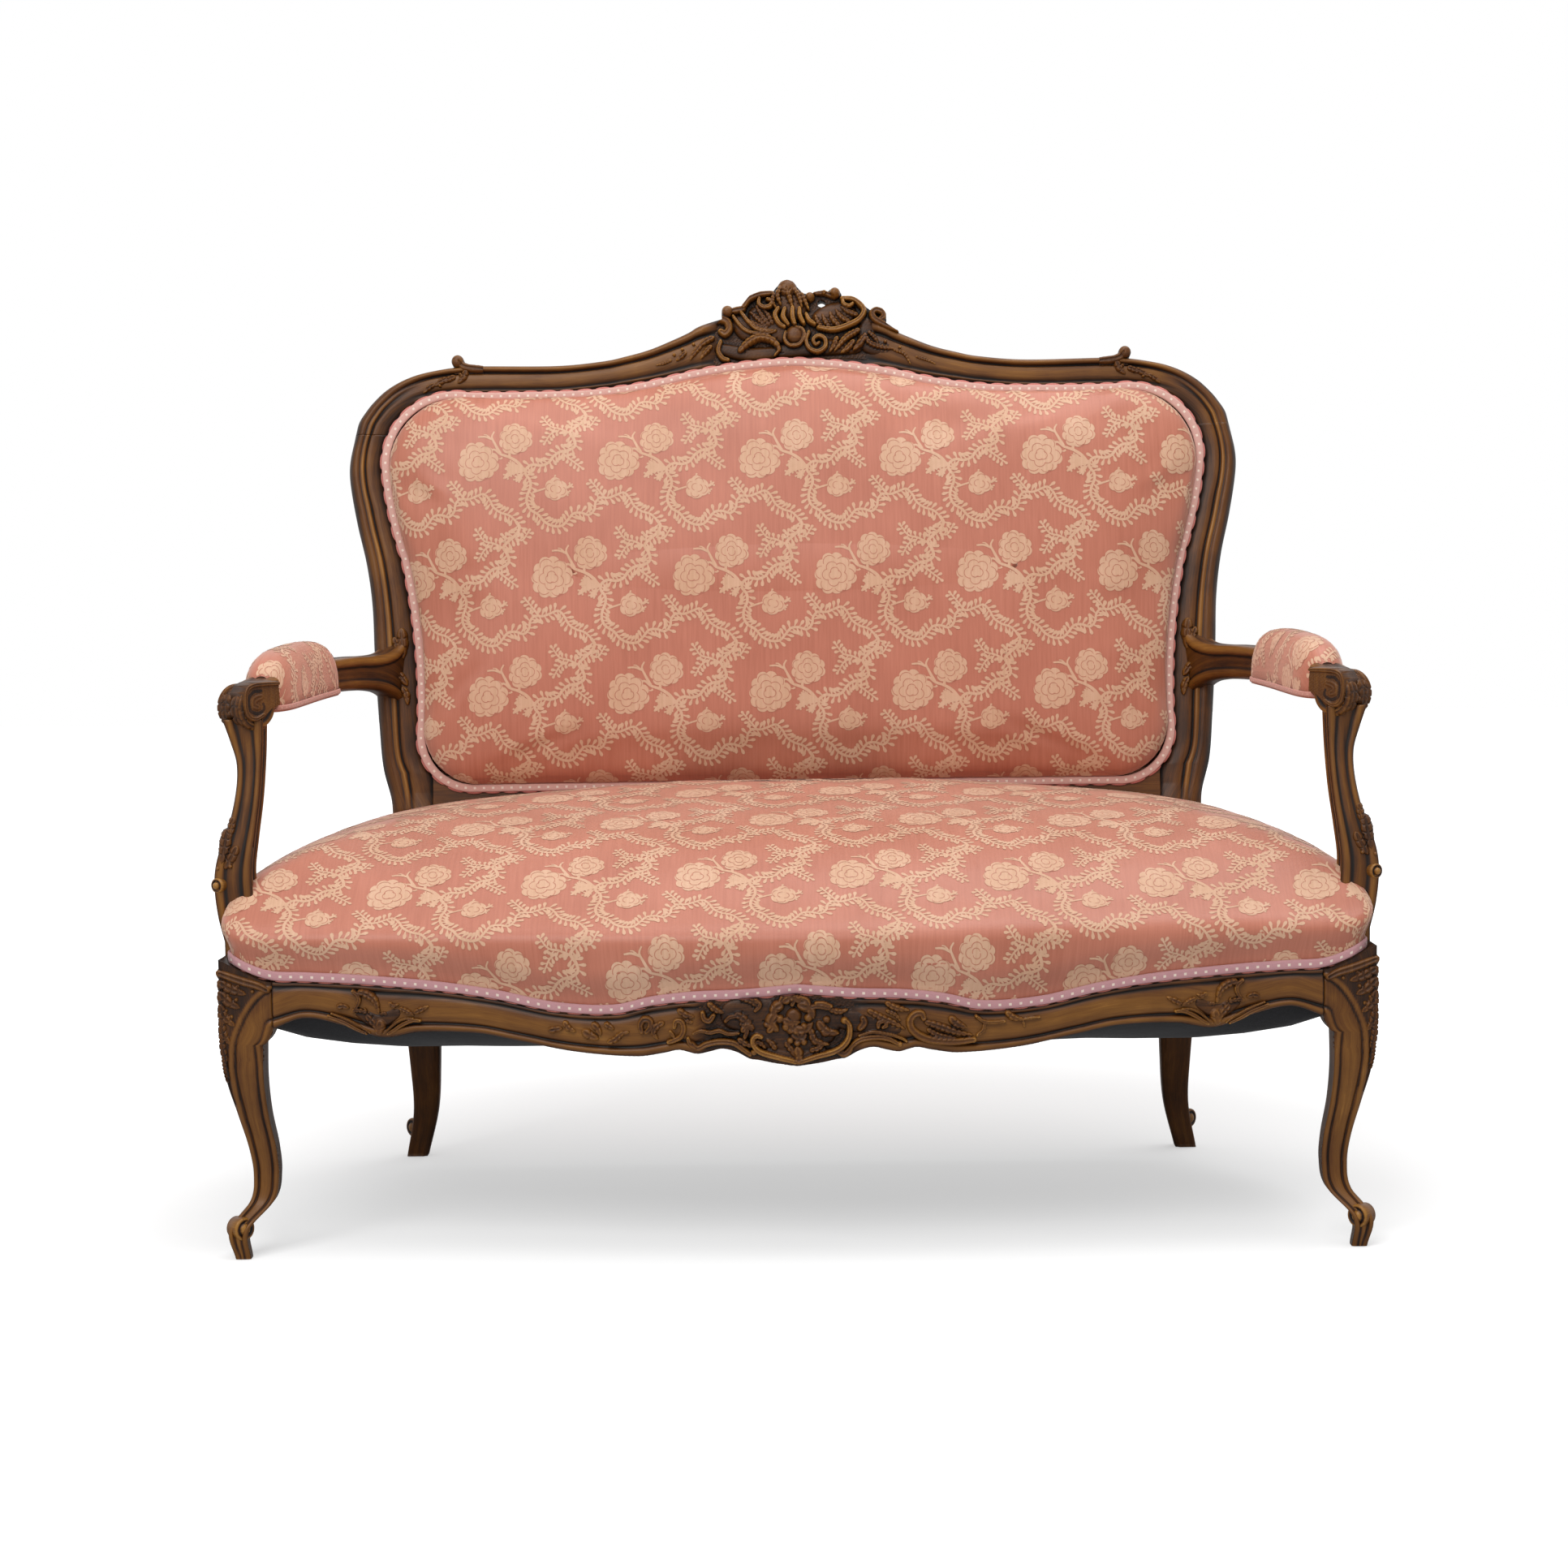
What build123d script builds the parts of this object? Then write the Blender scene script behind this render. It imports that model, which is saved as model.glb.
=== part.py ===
from build123d import *
import os
from math import atan, atan2, cos, pi, sin, sqrt

# A carved walnut settee with a sprung seat, a padded back in a moulded frame and two padded arms.
# Sizes in mm. x runs across, y from front to back, z up; the feet stand on z = 0.
# The right-hand half is drawn and mirrored. All pieces move back together at the end, to centre them.

# Floor plan
kneeHalf = 633          # outer face of the front knees
jointHalf = 575         # where the front rail meets a front leg
footFrontY = -285       # middle of a front foot
frontMidY = -335        # face of the front rail in the middle
frontDipY = -304        # face of the front rail where it curves in
kneeFrontY = -306       # face of the front legs at the knee
stileY = 230            # front face of the rear legs at seat height
stileHalf = 507         # outer face of the rear legs at seat height

# Heights
railTop = 348           # top of the four seat rails
archHeight = 262        # underside of the rails beside the legs
webHeight = 272         # underside of the rails inside, where the webbing is tacked
crownHeight = 489       # highest part of the seat
backLow = 432           # underside of the lower back rail
seamHeight = 920        # joint between the rear legs and the crest rail
shoulderHeight = 1005   # top of the crest rail outside its carving
crestHeight = 1108      # top of the carving
armHeight = 643         # top of the arms under their pads

# Wood
railThick = 34
sideThick = 30
rearThick = 28
backThick = 34
backSlope = 0.187       # how far the back leans, y for each z
rebate = 8              # step in the rails that the upholstery sits in
tenonLong = 22
tenonGap = 0.2          # all round a tenon
scrollRadius = 13
rearScrollRadius = 12
armThick = 38
underCloth = 22         # how far the back frame reaches in under the upholstery
knuckleRadius = 28

# Upholstery
cloth = 1.5
gimpWide = 10.5
gimpThick = 3
gap = 0.3               # between neighbouring soft pieces
seatBulge = 7           # how far the seat's front stands out past the rail
backCrown = 42
padLong = 262
padMidY = -2
padTop = 669
backCentreZ = 737

# Inside
webWide = 50
webThick = 1.6
coilTurns = 4
wireRadius = 1.7
coilRadius = 36
blockSize = 62
screwRadius = 2.2
pegRadius = 4
tackLong = 9


def along(points, t):
    # smooth value at t on a curve through (t, value) points
    if t <= points[0][0]:
        return points[0][1]
    if t >= points[-1][0]:
        return points[-1][1]
    i = max(k for k in range(len(points) - 1) if points[k][0] <= t)
    slopes = []
    for k in (i, i + 1):
        a = points[max(k - 1, 0)]
        b = points[min(k + 1, len(points) - 1)]
        slopes.append((b[1] - a[1]) / (b[0] - a[0]))
    (t0, v0), (t1, v1) = points[i], points[i + 1]
    h = t1 - t0
    s = (t - t0) / h
    value = v0 * (1 + 2 * s) * (1 - s) ** 2 + v1 * s * s * (3 - 2 * s)
    return value + h * slopes[0] * s * (1 - s) ** 2 - h * slopes[1] * s * s * (1 - s)


# Front rail: face in plan, the line where the cloth ends and the lower edge, each against x
def frontY(x):
    waist = 0.86 * jointHalf
    points = [(0, frontMidY), (0.24 * jointHalf, frontMidY + 3), (0.52 * jointHalf, frontMidY + 16),
              (waist, frontDipY + 4), (jointHalf, frontDipY), (kneeHalf, kneeFrontY)]
    return along([(-points[1][0], points[1][1])] + points, abs(x))


gimpRise = 48           # from the middle of the front rail to its ends


def frontGimpZ(x):
    low = railTop - 12 - gimpRise
    points = [(0, low + 5), (60, low), (114, low - 2), (158, low - 7), (200, low - 16), (264, low - 13),
              (328, low), (392, low + 9), (476, low + 16), (540, low + 20), (583, low + 24),
              (633, low + gimpRise)]
    return along([(x * kneeHalf / 633, z) for x, z in points], abs(x))


def frontLowZ(x):
    points = [(0, 214), (60, 218), (100, 231), (136, 231), (178, 226), (242, 232), (306, 244), (350, 252),
              (415, 253), (456, 247), (498, 260), (540, 269), (575, 258)]
    return along([(x * jointHalf / 575, z + archHeight - 262) for x, z in points], abs(x))


# Side rails: outer face, cloth line and lower edge, each against y
legRearY = kneeFrontY + 56
sideLong = stileY - legRearY


def sideX(y):
    t = (y - legRearY) / sideLong
    points = [(-0.1, kneeHalf - 3), (0, kneeHalf - 4), (0.2, kneeHalf - 6), (0.42, kneeHalf - 16),
              (0.63, kneeHalf - 35), (0.81, kneeHalf - 70), (0.92, kneeHalf - 98), (1, stileHalf + 3)]
    return along(points, t)


def sideGimpZ(y):
    return frontGimpZ(sideX(y))


def sideLowZ(y):
    t = (y - legRearY) / sideLong
    points = [(0, archHeight - 6), (0.08, archHeight + 4), (0.22, archHeight - 2), (0.5, archHeight - 14),
              (0.78, archHeight - 4), (0.93, archHeight + 3), (1, archHeight - 8)]
    return along(points, t)


def sideY(x):
    # where the side rail's outer face has this x
    low, high = legRearY, stileY
    for _ in range(30):
        middle = (low + high) / 2
        if sideX(middle) > x:
            low = middle
        else:
            high = middle
    return low


# Back: front face in side view
backBaseZ = 450
backBaseY = stileY + 5


def backY(z):
    return backBaseY + (z - backBaseZ) * backSlope


lean = atan(backSlope)
backPlane = Plane(origin=(0, backBaseY, backBaseZ), x_dir=(1, 0, 0), z_dir=(0, -cos(lean), sin(lean)))


def closed(*edges):
    return Face(Wire(edges))


def polygon(points, plane=Plane.XY):
    return plane * make_face(Polyline(points, close=True))


def raised(face, low, tall):
    return Pos(0, 0, low) * extrude(face, tall, dir=(0, 0, 1))


def elevation(outer, inner):
    # a face seen from the front, between two smooth edges given as (z, x) from the bottom up
    right = Spline([(x, z) for z, x in outer])
    left = Spline([(x, z) for z, x in inner])
    return Plane.XZ * closed(right, Line(right @ 1, left @ 1), left, Line(left @ 0, right @ 0))


def profile(front, rear, straight=0):
    # a face seen from the side, between two smooth edges given as (z, y) from the bottom up, whose last
    # stretch may be straight
    near = [(y, z) for z, y in front]
    far = [(y, z) for z, y in rear]
    edges = [Spline(near[:len(near) - straight]), Spline(far[:len(far) - straight])]
    if straight:
        edges += [Line(near[-2], near[-1]), Line(far[-2], far[-1])]
    return Plane.YZ * closed(*edges, Line(near[-1], far[-1]), Line(far[0], near[0]))


def cut(front, side):
    # the piece that has this outline from the front and that one from the side
    reach = 1500
    return extrude(front, reach, both=True) & extrude(side, reach, both=True)


def block(x0, x1, y0, y1, z0, z1):
    return Pos((x0 + x1) / 2, (y0 + y1) / 2, (z0 + z1) / 2) * Box(x1 - x0, y1 - y0, z1 - z0)


def grown(box, by):
    x0, x1, y0, y1, z0, z1 = box
    return block(x0 - by, x1 + by, y0 - by, y1 + by, z0 - by, z1 + by)


def rod(start, end, radius):
    way = Vector(*end) - Vector(*start)
    return Plane(origin=start, z_dir=way) * extrude(Circle(radius), way.length)


def scroll(x, y, z, radius, long, ahead):
    # a rolled end: a short cylinder lying across the diagonal of its corner
    way = Vector(-1, -ahead, 0).normalized()
    middle = Vector(x, y, z)
    return rod(middle - way * (long / 2), middle + way * (long / 2), radius)


def mirrored(shape):
    return mirror(shape, Plane.YZ)


made = {}


def pair(name, shape):
    made[name + "_right"] = shape
    made[name + "_left"] = mirrored(shape)


def both(shapes):
    return Compound(list(shapes) + [mirrored(s) for s in shapes])


# Front legs: cabriole, square in section and bowed along the diagonal
legHeight = archHeight - 22
footHalf = kneeHalf - 17
footWide = 17


def legBow(z):
    # how far the middle of the leg stands in from its foot
    points = [(0, 0), (0.14, -3), (0.26, 20), (0.375, 24.5), (0.5, 22), (0.67, 14), (0.83, 8), (1, 6)]
    return along(points, z / legHeight)


def legWide(z):
    points = [(0, footWide), (0.09, footWide + 3), (0.24, 26), (0.375, 28), (0.5, 30), (0.67, 34), (0.83, 41),
              (1, 46)]
    return along(points, z / legHeight)


def frontLeg():
    levels = [legHeight * k / 12 for k in range(13)]
    outer = [(z, footHalf - legBow(z) + legWide(z) / 2) for z in levels]
    inner = [(z, footHalf - legBow(z) - legWide(z) / 2) for z in levels]
    near = [(z, footFrontY + legBow(z) - legWide(z) / 2) for z in levels]
    far = [(z, footFrontY + legBow(z) + legWide(z) / 2) for z in levels]
    shaft = cut(elevation(outer, inner), profile(near, far))
    # the ears curve out below the rails to meet them
    a = (inner[-1][1], legHeight)
    b = (jointHalf, archHeight - 4)
    front = Plane.XZ * closed(
        Line((kneeHalf, railTop), (jointHalf, railTop)),
        Line((jointHalf, railTop), b),
        ThreePointArc(b, (a[0] - 4, legHeight + 8), a),
        Line(a, (outer[-1][1], legHeight)),
        Line((outer[-1][1], legHeight), (kneeHalf, railTop)),
    )
    c = (far[-1][1], legHeight)
    d = (legRearY, archHeight - 6)
    side = Plane.YZ * closed(
        Line((kneeFrontY, railTop), (legRearY, railTop)),
        Line((legRearY, railTop), d),
        ThreePointArc(d, ((c[0] + d[0]) / 2 - 1, legHeight + 6), c),
        Line(c, (near[-1][1], legHeight)),
        Line((near[-1][1], legHeight), (kneeFrontY, railTop)),
    )
    head = cut(front, side)
    roll = scroll(footHalf + 3, footFrontY - 3, scrollRadius + 21, scrollRadius, 21, 1)
    return shaft + head + roll


def railTenon():
    return (jointHalf, jointHalf + tenonLong, frontDipY + 11, frontDipY + 23, webHeight + 8, railTop - 16)


def sideTenon():
    x = kneeHalf - 6 - sideThick / 2
    return (x - 6, x + 6, legRearY - tenonLong, legRearY, webHeight + 8, railTop - 16)


def sideRearTenon():
    x = stileHalf + 3 - sideThick / 2
    return (x - 6, x + 6, stileY, stileY + tenonLong, webHeight + 8, railTop - 16)


rearRailY = stileY - 4
rearInner = stileHalf - 51


def rearTenon():
    y = rearRailY + rearThick / 2
    return (rearInner, rearInner + tenonLong, y - 5, y + 5, archHeight + 2, railTop - 16)


postBaseY = kneeFrontY + 70
postFootX = kneeHalf - 25


def postTenon():
    return (postFootX - 6, postFootX + 6, postBaseY - 9, postBaseY + 9, railTop - tenonLong, railTop)


# Rear legs: one piece each from the floor to the crest rail
def rearLeg():
    s = stileHalf
    outer = [(0, s - 3), (60, s - 14), (120, s - 13), (250, s - 4), (350, s - 1), (452, s + 1), (502, s + 13),
             (553, s + 18), (640, s + 24), (705, s + 27), (756, s + 34), (808, s + 46), (859, s + 55),
             (885, s + 55.5), (seamHeight, s + 48.5)]
    inner = [(0, s - 29), (60, s - 44), (120, s - 49), (180, rearInner), (300, rearInner), (425, rearInner),
             (500, rearInner), (580, rearInner), (670, s - 47), (760, s - 33), (820, s - 17), (880, s - 7),
             (seamHeight, s - 13)]
    y = stileY
    front = [(0, y + 43), (60, y + 31), (120, y + 17), (180, y + 7), (260, y + 1), (350, y + 0.5),
             (400, y + 1.5),
             (backBaseZ, backBaseY), (seamHeight + 40, backY(seamHeight + 40))]
    thick = [26, 30, 35, 36, 36, backThick, backThick, backThick, backThick]
    rear = [(z, y + t) for (z, y), t in zip(front, thick)]
    roll = scroll(stileHalf - 14, stileY + 57, rearScrollRadius + 24, rearScrollRadius, 17, -1)
    return cut(elevation(outer, inner), profile(front, rear, 1)) + roll


def backBand():
    low, high = 300, 1300
    points = [(backY(low), low), (backY(high), high), (backY(high) + backThick, high),
              (backY(low) + backThick, low)]
    return extrude(polygon(points, Plane.YZ), 1500, both=True)


# Where the back's upholstery ends, from the middle of the top round to the middle of the bottom, as
# (x, z) ends of arcs with the point that each arc passes through
backTopZ = 1010
backLowZ = 468
edgeHalf = 522
edgeArcs = [((0, backTopZ), (74, backTopZ - 6), (150, backTopZ - 20)),
            ((150, backTopZ - 20), (218, backTopZ - 33), (300, backTopZ - 38)),
            ((300, backTopZ - 38), (355, backTopZ - 38.5), (410, backTopZ - 38)),
            ((410, backTopZ - 38), (495, backTopZ - 64), (edgeHalf, backTopZ - 130)),
            ((edgeHalf, backTopZ - 130), (513, backTopZ - 190), (496, backTopZ - 250)),
            ((496, backTopZ - 250), (481, backTopZ - 340), (476, backLowZ + 84)),
            ((476, backLowZ + 84), (463, backLowZ + 29), (410, backLowZ)),
            ((410, backLowZ), (205, backLowZ + 0.5), (0, backLowZ))]


def crestRail():
    h = shoulderHeight
    s = stileHalf
    shoulder = Spline([(s + 48.5, seamHeight), (s + 44, seamHeight + 17), (s + 26, h - 43), (s - 7, h - 18),
                       (s - 48, h - 5), (400, h + 1), (300, h), (240, h + 5), (180, h + 19), (130, h + 43)])
    crown = Spline([shoulder @ 1, (116, h + 58), (84, h + 68), (48, h + 86), (0, crestHeight)])
    t = backTopZ - underCloth
    inner = Spline([(0, t), (74, t - 6), (150, t - 20), (218, t - 33), (300, t - 38), (405, t - 39),
                    (445, t - 45),
                    (475, t - 58), (s - 13, seamHeight)])
    half = closed(shoulder, crown, Line(crown @ 1, inner @ 0), inner, Line(inner @ 1, shoulder @ 0))
    right = extrude(Plane.XZ * half, 1500, both=True) & backBand()
    return right + mirrored(right)


def crestDowels():
    x = stileHalf + 20
    y = backY(seamHeight) + backThick / 2
    step = 18
    return [rod((x, y - step * backSlope, seamHeight - step), (x, y + step * backSlope, seamHeight + step),
                pegRadius)]


def lowerBackRail():
    low, high = backLow, backLowZ + underCloth
    return block(-rearInner, rearInner, 0, 600, low, high) & backBand()


def backTenon():
    middle = (backLow + backLowZ + underCloth) / 2
    y = backY(middle) + backThick / 2
    return (rearInner, rearInner + tenonLong, y - 5, y + 5, backLow + 10, backLowZ + underCloth - 10)


def spread(reach, count):
    return [reach * (2 * k / count - 1) for k in range(count + 1)]


def frontBand(near, far, low, high):
    # a strip that follows the front rail in plan, between two distances behind its face
    xs = spread(jointHalf, 24)
    face = Spline([(x, frontY(x) + near) for x in xs])
    behind = Spline([(x, frontY(x) + far) for x in xs])
    plan = closed(face, Line(face @ 1, behind @ 1), behind, Line(behind @ 0, face @ 0))
    return raised(plan, low, high - low)


def above(edge, reach, lift):
    # all that lies above a line seen from the front
    line = Spline([(x, edge(x) + lift) for x in spread(reach, 48)])
    top = railTop + 400
    face = closed(line, Line(line @ 1, (reach, top)), Line((reach, top), (-reach, top)),
                  Line((-reach, top), line @ 0))
    return extrude(Plane.XZ * face, 700, both=True)


def frontRail():
    body = frontBand(0, railThick, 0, railTop) & above(frontLowZ, jointHalf, 0)
    return body - frontBand(railThick - 14, railThick + 20, 0, webHeight)


def sideRail():
    slices = []
    for y in [legRearY + sideLong * k / 10 for k in range(11)]:
        x = sideX(y)
        low = sideLowZ(y)
        outline = [(x, low), (x, railTop), (x - sideThick, railTop), (x - sideThick, webHeight),
                   (x - sideThick + 13, webHeight), (x - sideThick + 13, low)]
        slices.append(polygon(outline, Plane.XZ.offset(-y)))
    return loft(slices)


def rearRail():
    low = archHeight - 10
    y = rearRailY
    outline = [(y, webHeight), (y, railTop), (y + rearThick, railTop), (y + rearThick, low), (y + 13, low),
               (y + 13, webHeight)]
    return extrude(polygon(outline, Plane.YZ), rearInner, both=True)


# Arms: a curved bar from the rear leg to a rolled knuckle over its post
knuckleX = kneeHalf - 21.5
knuckleY = postBaseY + 34
knuckleZ = armHeight - 42


def armX(y):
    points = [(knuckleY, knuckleX + 2), (knuckleY + 70, kneeHalf - 27), (-50, kneeHalf - 35),
              (50, kneeHalf - 45), (120, kneeHalf - 57), (180, kneeHalf - 72), (230, kneeHalf - 92),
              (262, kneeHalf - 112), (290, stileHalf - 5)]
    return along(points, y)


def armTopZ(y):
    points = [(knuckleY, armHeight - 15), (knuckleY + 50, armHeight - 9), (-50, armHeight - 3),
              (60, armHeight),
              (200, armHeight), (300, armHeight - 4)]
    return along(points, y)


def armLowZ(y):
    points = [(knuckleY, armHeight - 50), (knuckleY + 60, armHeight - 47), (0, armHeight - 43),
              (150, armHeight - 41),
              (300, armHeight - 45)]
    return along(points, y)


def arm(leg):
    end = backY(armHeight) + 16
    stations = [knuckleY + (end - knuckleY) * k / 10 for k in range(11)]
    slices = []
    for y in stations:
        x = armX(y)
        w = armThick / 2
        low, top = armLowZ(y), armTopZ(y)
        outline = [(x - w + 5, low), (x + w - 5, low), (x + w, low + 8), (x + w, top - 12), (x + w - 8, top),
                   (x - w + 8, top), (x - w, top - 12), (x - w, low + 8)]
        slices.append(polygon(outline, Plane.XZ.offset(-y)))
    knuckle = scroll(knuckleX, knuckleY, knuckleZ, knuckleRadius, 44, 1)
    return loft(slices) + knuckle - leg


def armPost(bar):
    low, top = railTop, knuckleZ - 8
    tall = top - low
    outerX = [(0, 4), (0.12, 11), (0.27, 14.5), (0.38, 11), (0.52, -1), (0.68, -9), (0.8, -9.5),
              (0.9, -2.5), (1, 6)]
    innerX = [(0, -36), (0.3, -30), (0.45, -33), (0.63, -38), (0.8, -40.5), (1, -42)]
    outer = [(low + f * tall, kneeHalf + x) for f, x in outerX]
    inner = [(low + f * tall, kneeHalf + x) for f, x in innerX]
    leanY = [(0, 0), (0.3, 4), (0.6, 18), (0.85, 30), (1, 33)]
    near = [(low + f * tall, postBaseY + y - 19) for f, y in leanY]
    far = [(low + f * tall, postBaseY + y + 19) for f, y in leanY]
    return cut(elevation(outer, inner), profile(near, far)) - bar


# Seat: level slices, from the skirt in the rails' rebate up to the crown
seatRearY = stileY - 1
seatHalf = kneeHalf - 4 - rebate + cloth + gap
seatFrontDeep = seatRearY - frontMidY


def seatEdge():
    # the rebated face of the rails in plan, from the right-hand rear corner to the middle of the front
    off = rebate - cloth - gap
    spots = [(sideX(y) - off, y) for y in [seatRearY - k * (seatRearY - legRearY) / 8 for k in range(9)]]
    bend = 20
    corner = (seatHalf - bend, kneeFrontY + off + bend)
    turns = [t * pi / 180 for t in (0, 30, 60, 90)]
    spots += [(corner[0] + bend * cos(t), corner[1] - bend * sin(t)) for t in turns]
    spots += [(x, frontY(x) + off) for x in [(kneeHalf - 60) * (1 - k / 11) for k in range(12)]]
    return spots


def seatLevel(z, half, deep, round, inset):
    # the outline at height z, scaled to this half width and depth and rounded towards an ellipse
    lap = 1.4 * max(0, z - backLowZ - 6)
    spots = []
    for x, y in seatEdge():
        angle = atan2((seatRearY - y) / seatFrontDeep, x / seatHalf)
        rise = min(1, max(0, (z - frontGimpZ(x) - gimpWide) / 38))
        out = (seatBulge + rebate - 2) * rise * rise * (3 - 2 * rise)
        wide = x * half / seatHalf * (1 - round) + half * cos(angle) * round
        away = (seatRearY - y) * deep / seatFrontDeep * (1 - round) + deep * sin(angle) * round
        spots.append((wide + (out - inset) * cos(angle), seatRearY - lap - away - (out - inset) * sin(angle)))
    spots[0] = (spots[0][0], seatRearY - lap - inset)
    line = Spline(spots + [(-x, y) for x, y in spots[-2::-1]])
    return Pos(0, 0, z - inset) * closed(line, Line(line @ 1, line @ 0))


def seatForm(inset, low):
    c = crownHeight
    w = seatHalf
    d = seatFrontDeep
    levels = [(low + inset, w, d, 0), (c - 156, w, d, 0), (c - 144, w, d, 0), (c - 132, w, d - 2, 0),
              (c - 122, w, d - 10, 0), (c - 113, w - 1, d - 24, 0), (c - 102, w - 4, d - 46, 0.1),
              (c - 90, w - 11, d - 70, 0.2), (c - 76, w - 29, d - 98, 0.35), (c - 60, w - 56, d - 135, 0.55),
              (c - 44, w - 91, d - 180, 0.8), (c - 28, w - 139, d - 245, 1), (c - 14, w - 228, d - 330, 1),
              (c - 5, w - 350, d - 410, 1), (c, w - 480, d - 480, 1)]
    return loft([seatLevel(z, half, deep, round, inset) for z, half, deep, round in levels], ruled=True)


def rebateRoom():
    # all that has to go from the rails and legs above the cloth's edge, to seat the upholstery
    core = raised(seatLevel(0, seatHalf, seatFrontDeep, 0, cloth + gap), 0, railTop + 20)
    around = block(-900, 900, -900, seatRearY + 20, 0, railTop + 10)
    behind = block(-900, 900, seatRearY - cloth - gap - 1, seatRearY + 30, 0, railTop + 20)
    return above(frontGimpZ, kneeHalf + 40, 0) & (around - core - behind)


def postNotch():
    tall = crownHeight - railTop + 60
    y = postBaseY
    return block(kneeHalf - 44, kneeHalf + 40, y - 19 - 1, y + 30, railTop - 40, railTop + tall)


springTop = railTop + 22
seatMidY = (seatRearY + frontMidY) / 2


def insideRails(off, z, share):
    # a level outline this far inside the rails' outer faces, cut across the legs' corners and shrunk
    # towards the middle of the seat
    long = seatRearY - 39 - (legRearY + 40)
    right = [(sideX(y) - off, y) for y in [seatRearY - 39 - long * k / 5 for k in range(6)]]
    front = [(x, frontY(x) + off) for x in [(jointHalf - 40) * (1 - k / 6) for k in range(7)]]
    spots = [(rearInner - 10, seatRearY - 4)] + right + front
    spots += [(-x, y) for x, y in spots[-2::-1]]
    return polygon([(x * share, seatMidY + (y - seatMidY) * share) for x, y in spots], Plane.XY.offset(z))


def hessian(rise):
    # the taut cloth over the springs, from the rails' tops up to the height of the springs
    levels = [(railTop + gap, 1), (railTop + 12, 0.93), (springTop, 0.87)]
    return loft([insideRails(12, z + rise, share) for z, share in levels], ruled=True)


springX = [-432, -288, -144, 0, 144, 288, 432]
springY = [-215, -75, 75]


def springSpots():
    return [(x * kneeHalf / 633, y) for x in springX for y in springY]


def coil():
    low = webHeight + wireRadius + gap
    tall = springTop - 2 * wireRadius - 2 * gap - webHeight
    path = Helix(pitch=tall / coilTurns, height=tall, radius=coilRadius)
    section = Plane(origin=path @ 0, z_dir=path % 0) * Circle(wireRadius)
    return Pos(0, 0, low) * sweep(section, path)


def seatSprings():
    one = coil()
    return Compound([Pos(x, y, 0) * one for x, y in springSpots()])


def seatWebbing():
    strips = []
    for k in range(9):
        x = (k - 4) * 117 * kneeHalf / 633
        front = frontY(x) + railThick - 9
        rear = rearRailY + 12
        if abs(x) > rearInner - webWide / 2:
            rear = sideY(abs(x) + webWide / 2 + sideThick - 12)
        strips.append(block(x - webWide / 2, x + webWide / 2, front, rear, webHeight - webThick, webHeight))
    for y in springY:
        reach = sideX(y + webWide / 2) - sideThick + 11
        low = webHeight - 2 * webThick
        strips.append(block(-reach, reach, y - webWide / 2, y + webWide / 2, low, webHeight - webThick))
    return strips


clothSag = 52


def dustCloth():
    # tacked under the rails' inner edges and sagging in the middle
    base = webHeight - 2 * webThick - 4 * gap
    levels = [(0, 1), (0.55, 0.9), (0.85, 0.76), (1, 0.55)]

    def bowl(rise, off):
        return loft([insideRails(off, base + rise - f * clothSag, share) for f, share in levels], ruled=True)
    return bowl(0, 21) - bowl(cloth, 21)


def pads(y):
    t = abs(y - padMidY) / (padLong / 2)
    return sqrt(max(0, 1 - t ** 4))


def padSlice(y, inset, sink):
    x = armX(y)
    swell = pads(y)
    w = armThick / 2 + 2 + 8 * swell - inset
    low = armLowZ(y) + 5 - sink
    top = armTopZ(y) + 3 + (padTop - armHeight - 3) * swell - inset
    middle = (low + top) / 2
    return Plane.XZ.offset(-y) * closed(
        Line((x - w, low), (x + w, low)),
        Line((x + w, low), (x + w, middle)),
        ThreePointArc((x + w, middle), (x, top), (x - w, middle)),
        Line((x - w, middle), (x - w, low)),
    )


def padForm(inset, sink):
    shares = [-0.99, -0.93, -0.8, -0.55, -0.2, 0.2, 0.55, 0.8, 0.93, 0.99]
    half = padLong / 2 - inset
    return loft([padSlice(padMidY + f * half, inset, sink) for f in shares])


def backOutline(inset):
    # the edge of the back's upholstery drawn in by inset, as a closed face on the sofa's leaning back
    sx = 1 - inset / edgeHalf
    half = (backTopZ - backLowZ) / 2
    sz = 1 - inset / half

    def spot(point, side):
        z = backCentreZ + (point[1] - backCentreZ) * sz
        return (side * point[0] * sx, (z - backBaseZ) / cos(lean))
    right = [ThreePointArc(*[spot(p, 1) for p in arc]) for arc in edgeArcs]
    left = [ThreePointArc(*[spot(p, -1) for p in arc[::-1]]) for arc in edgeArcs[::-1]]
    return closed(*right, *left)


def onBack(inset, out):
    return backPlane.offset(out) * backOutline(inset)


def sheetOnBack(inset, out, thick):
    return extrude(onBack(inset, out), thick, dir=backPlane.z_dir)


def backForm(inset, start):
    # the crown: arcs of the back's outline, drawn in and lifted off the frame level by level
    foot = gimpWide + 0.8
    levels = [(foot, start + inset), (foot, 6), (foot + 1, 11), (foot + 4, 17), (foot + 11, 23),
              (foot + 24, 28.5),
              (foot + 45, 33), (foot + 75, 37), (foot + 115, 40), (foot + 170, backCrown)]
    return loft([onBack(off + inset, out - inset) for off, out in levels], ruled=True)


webOut = 0.1
hessianOut = webOut + webThick + 0.1
stuffingOut = hessianOut + cloth + 0.1


def backCover():
    flange = sheetOnBack(1, gap, cloth) - sheetOnBack(gimpWide + 1, 0, 3 * cloth)
    return backForm(0, gap) - backForm(cloth, -2) + flange


def ringOnBack(outer, wide, out, thick):
    return sheetOnBack(outer, out, thick) - sheetOnBack(outer + wide, out - 1, thick + 2)


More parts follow.
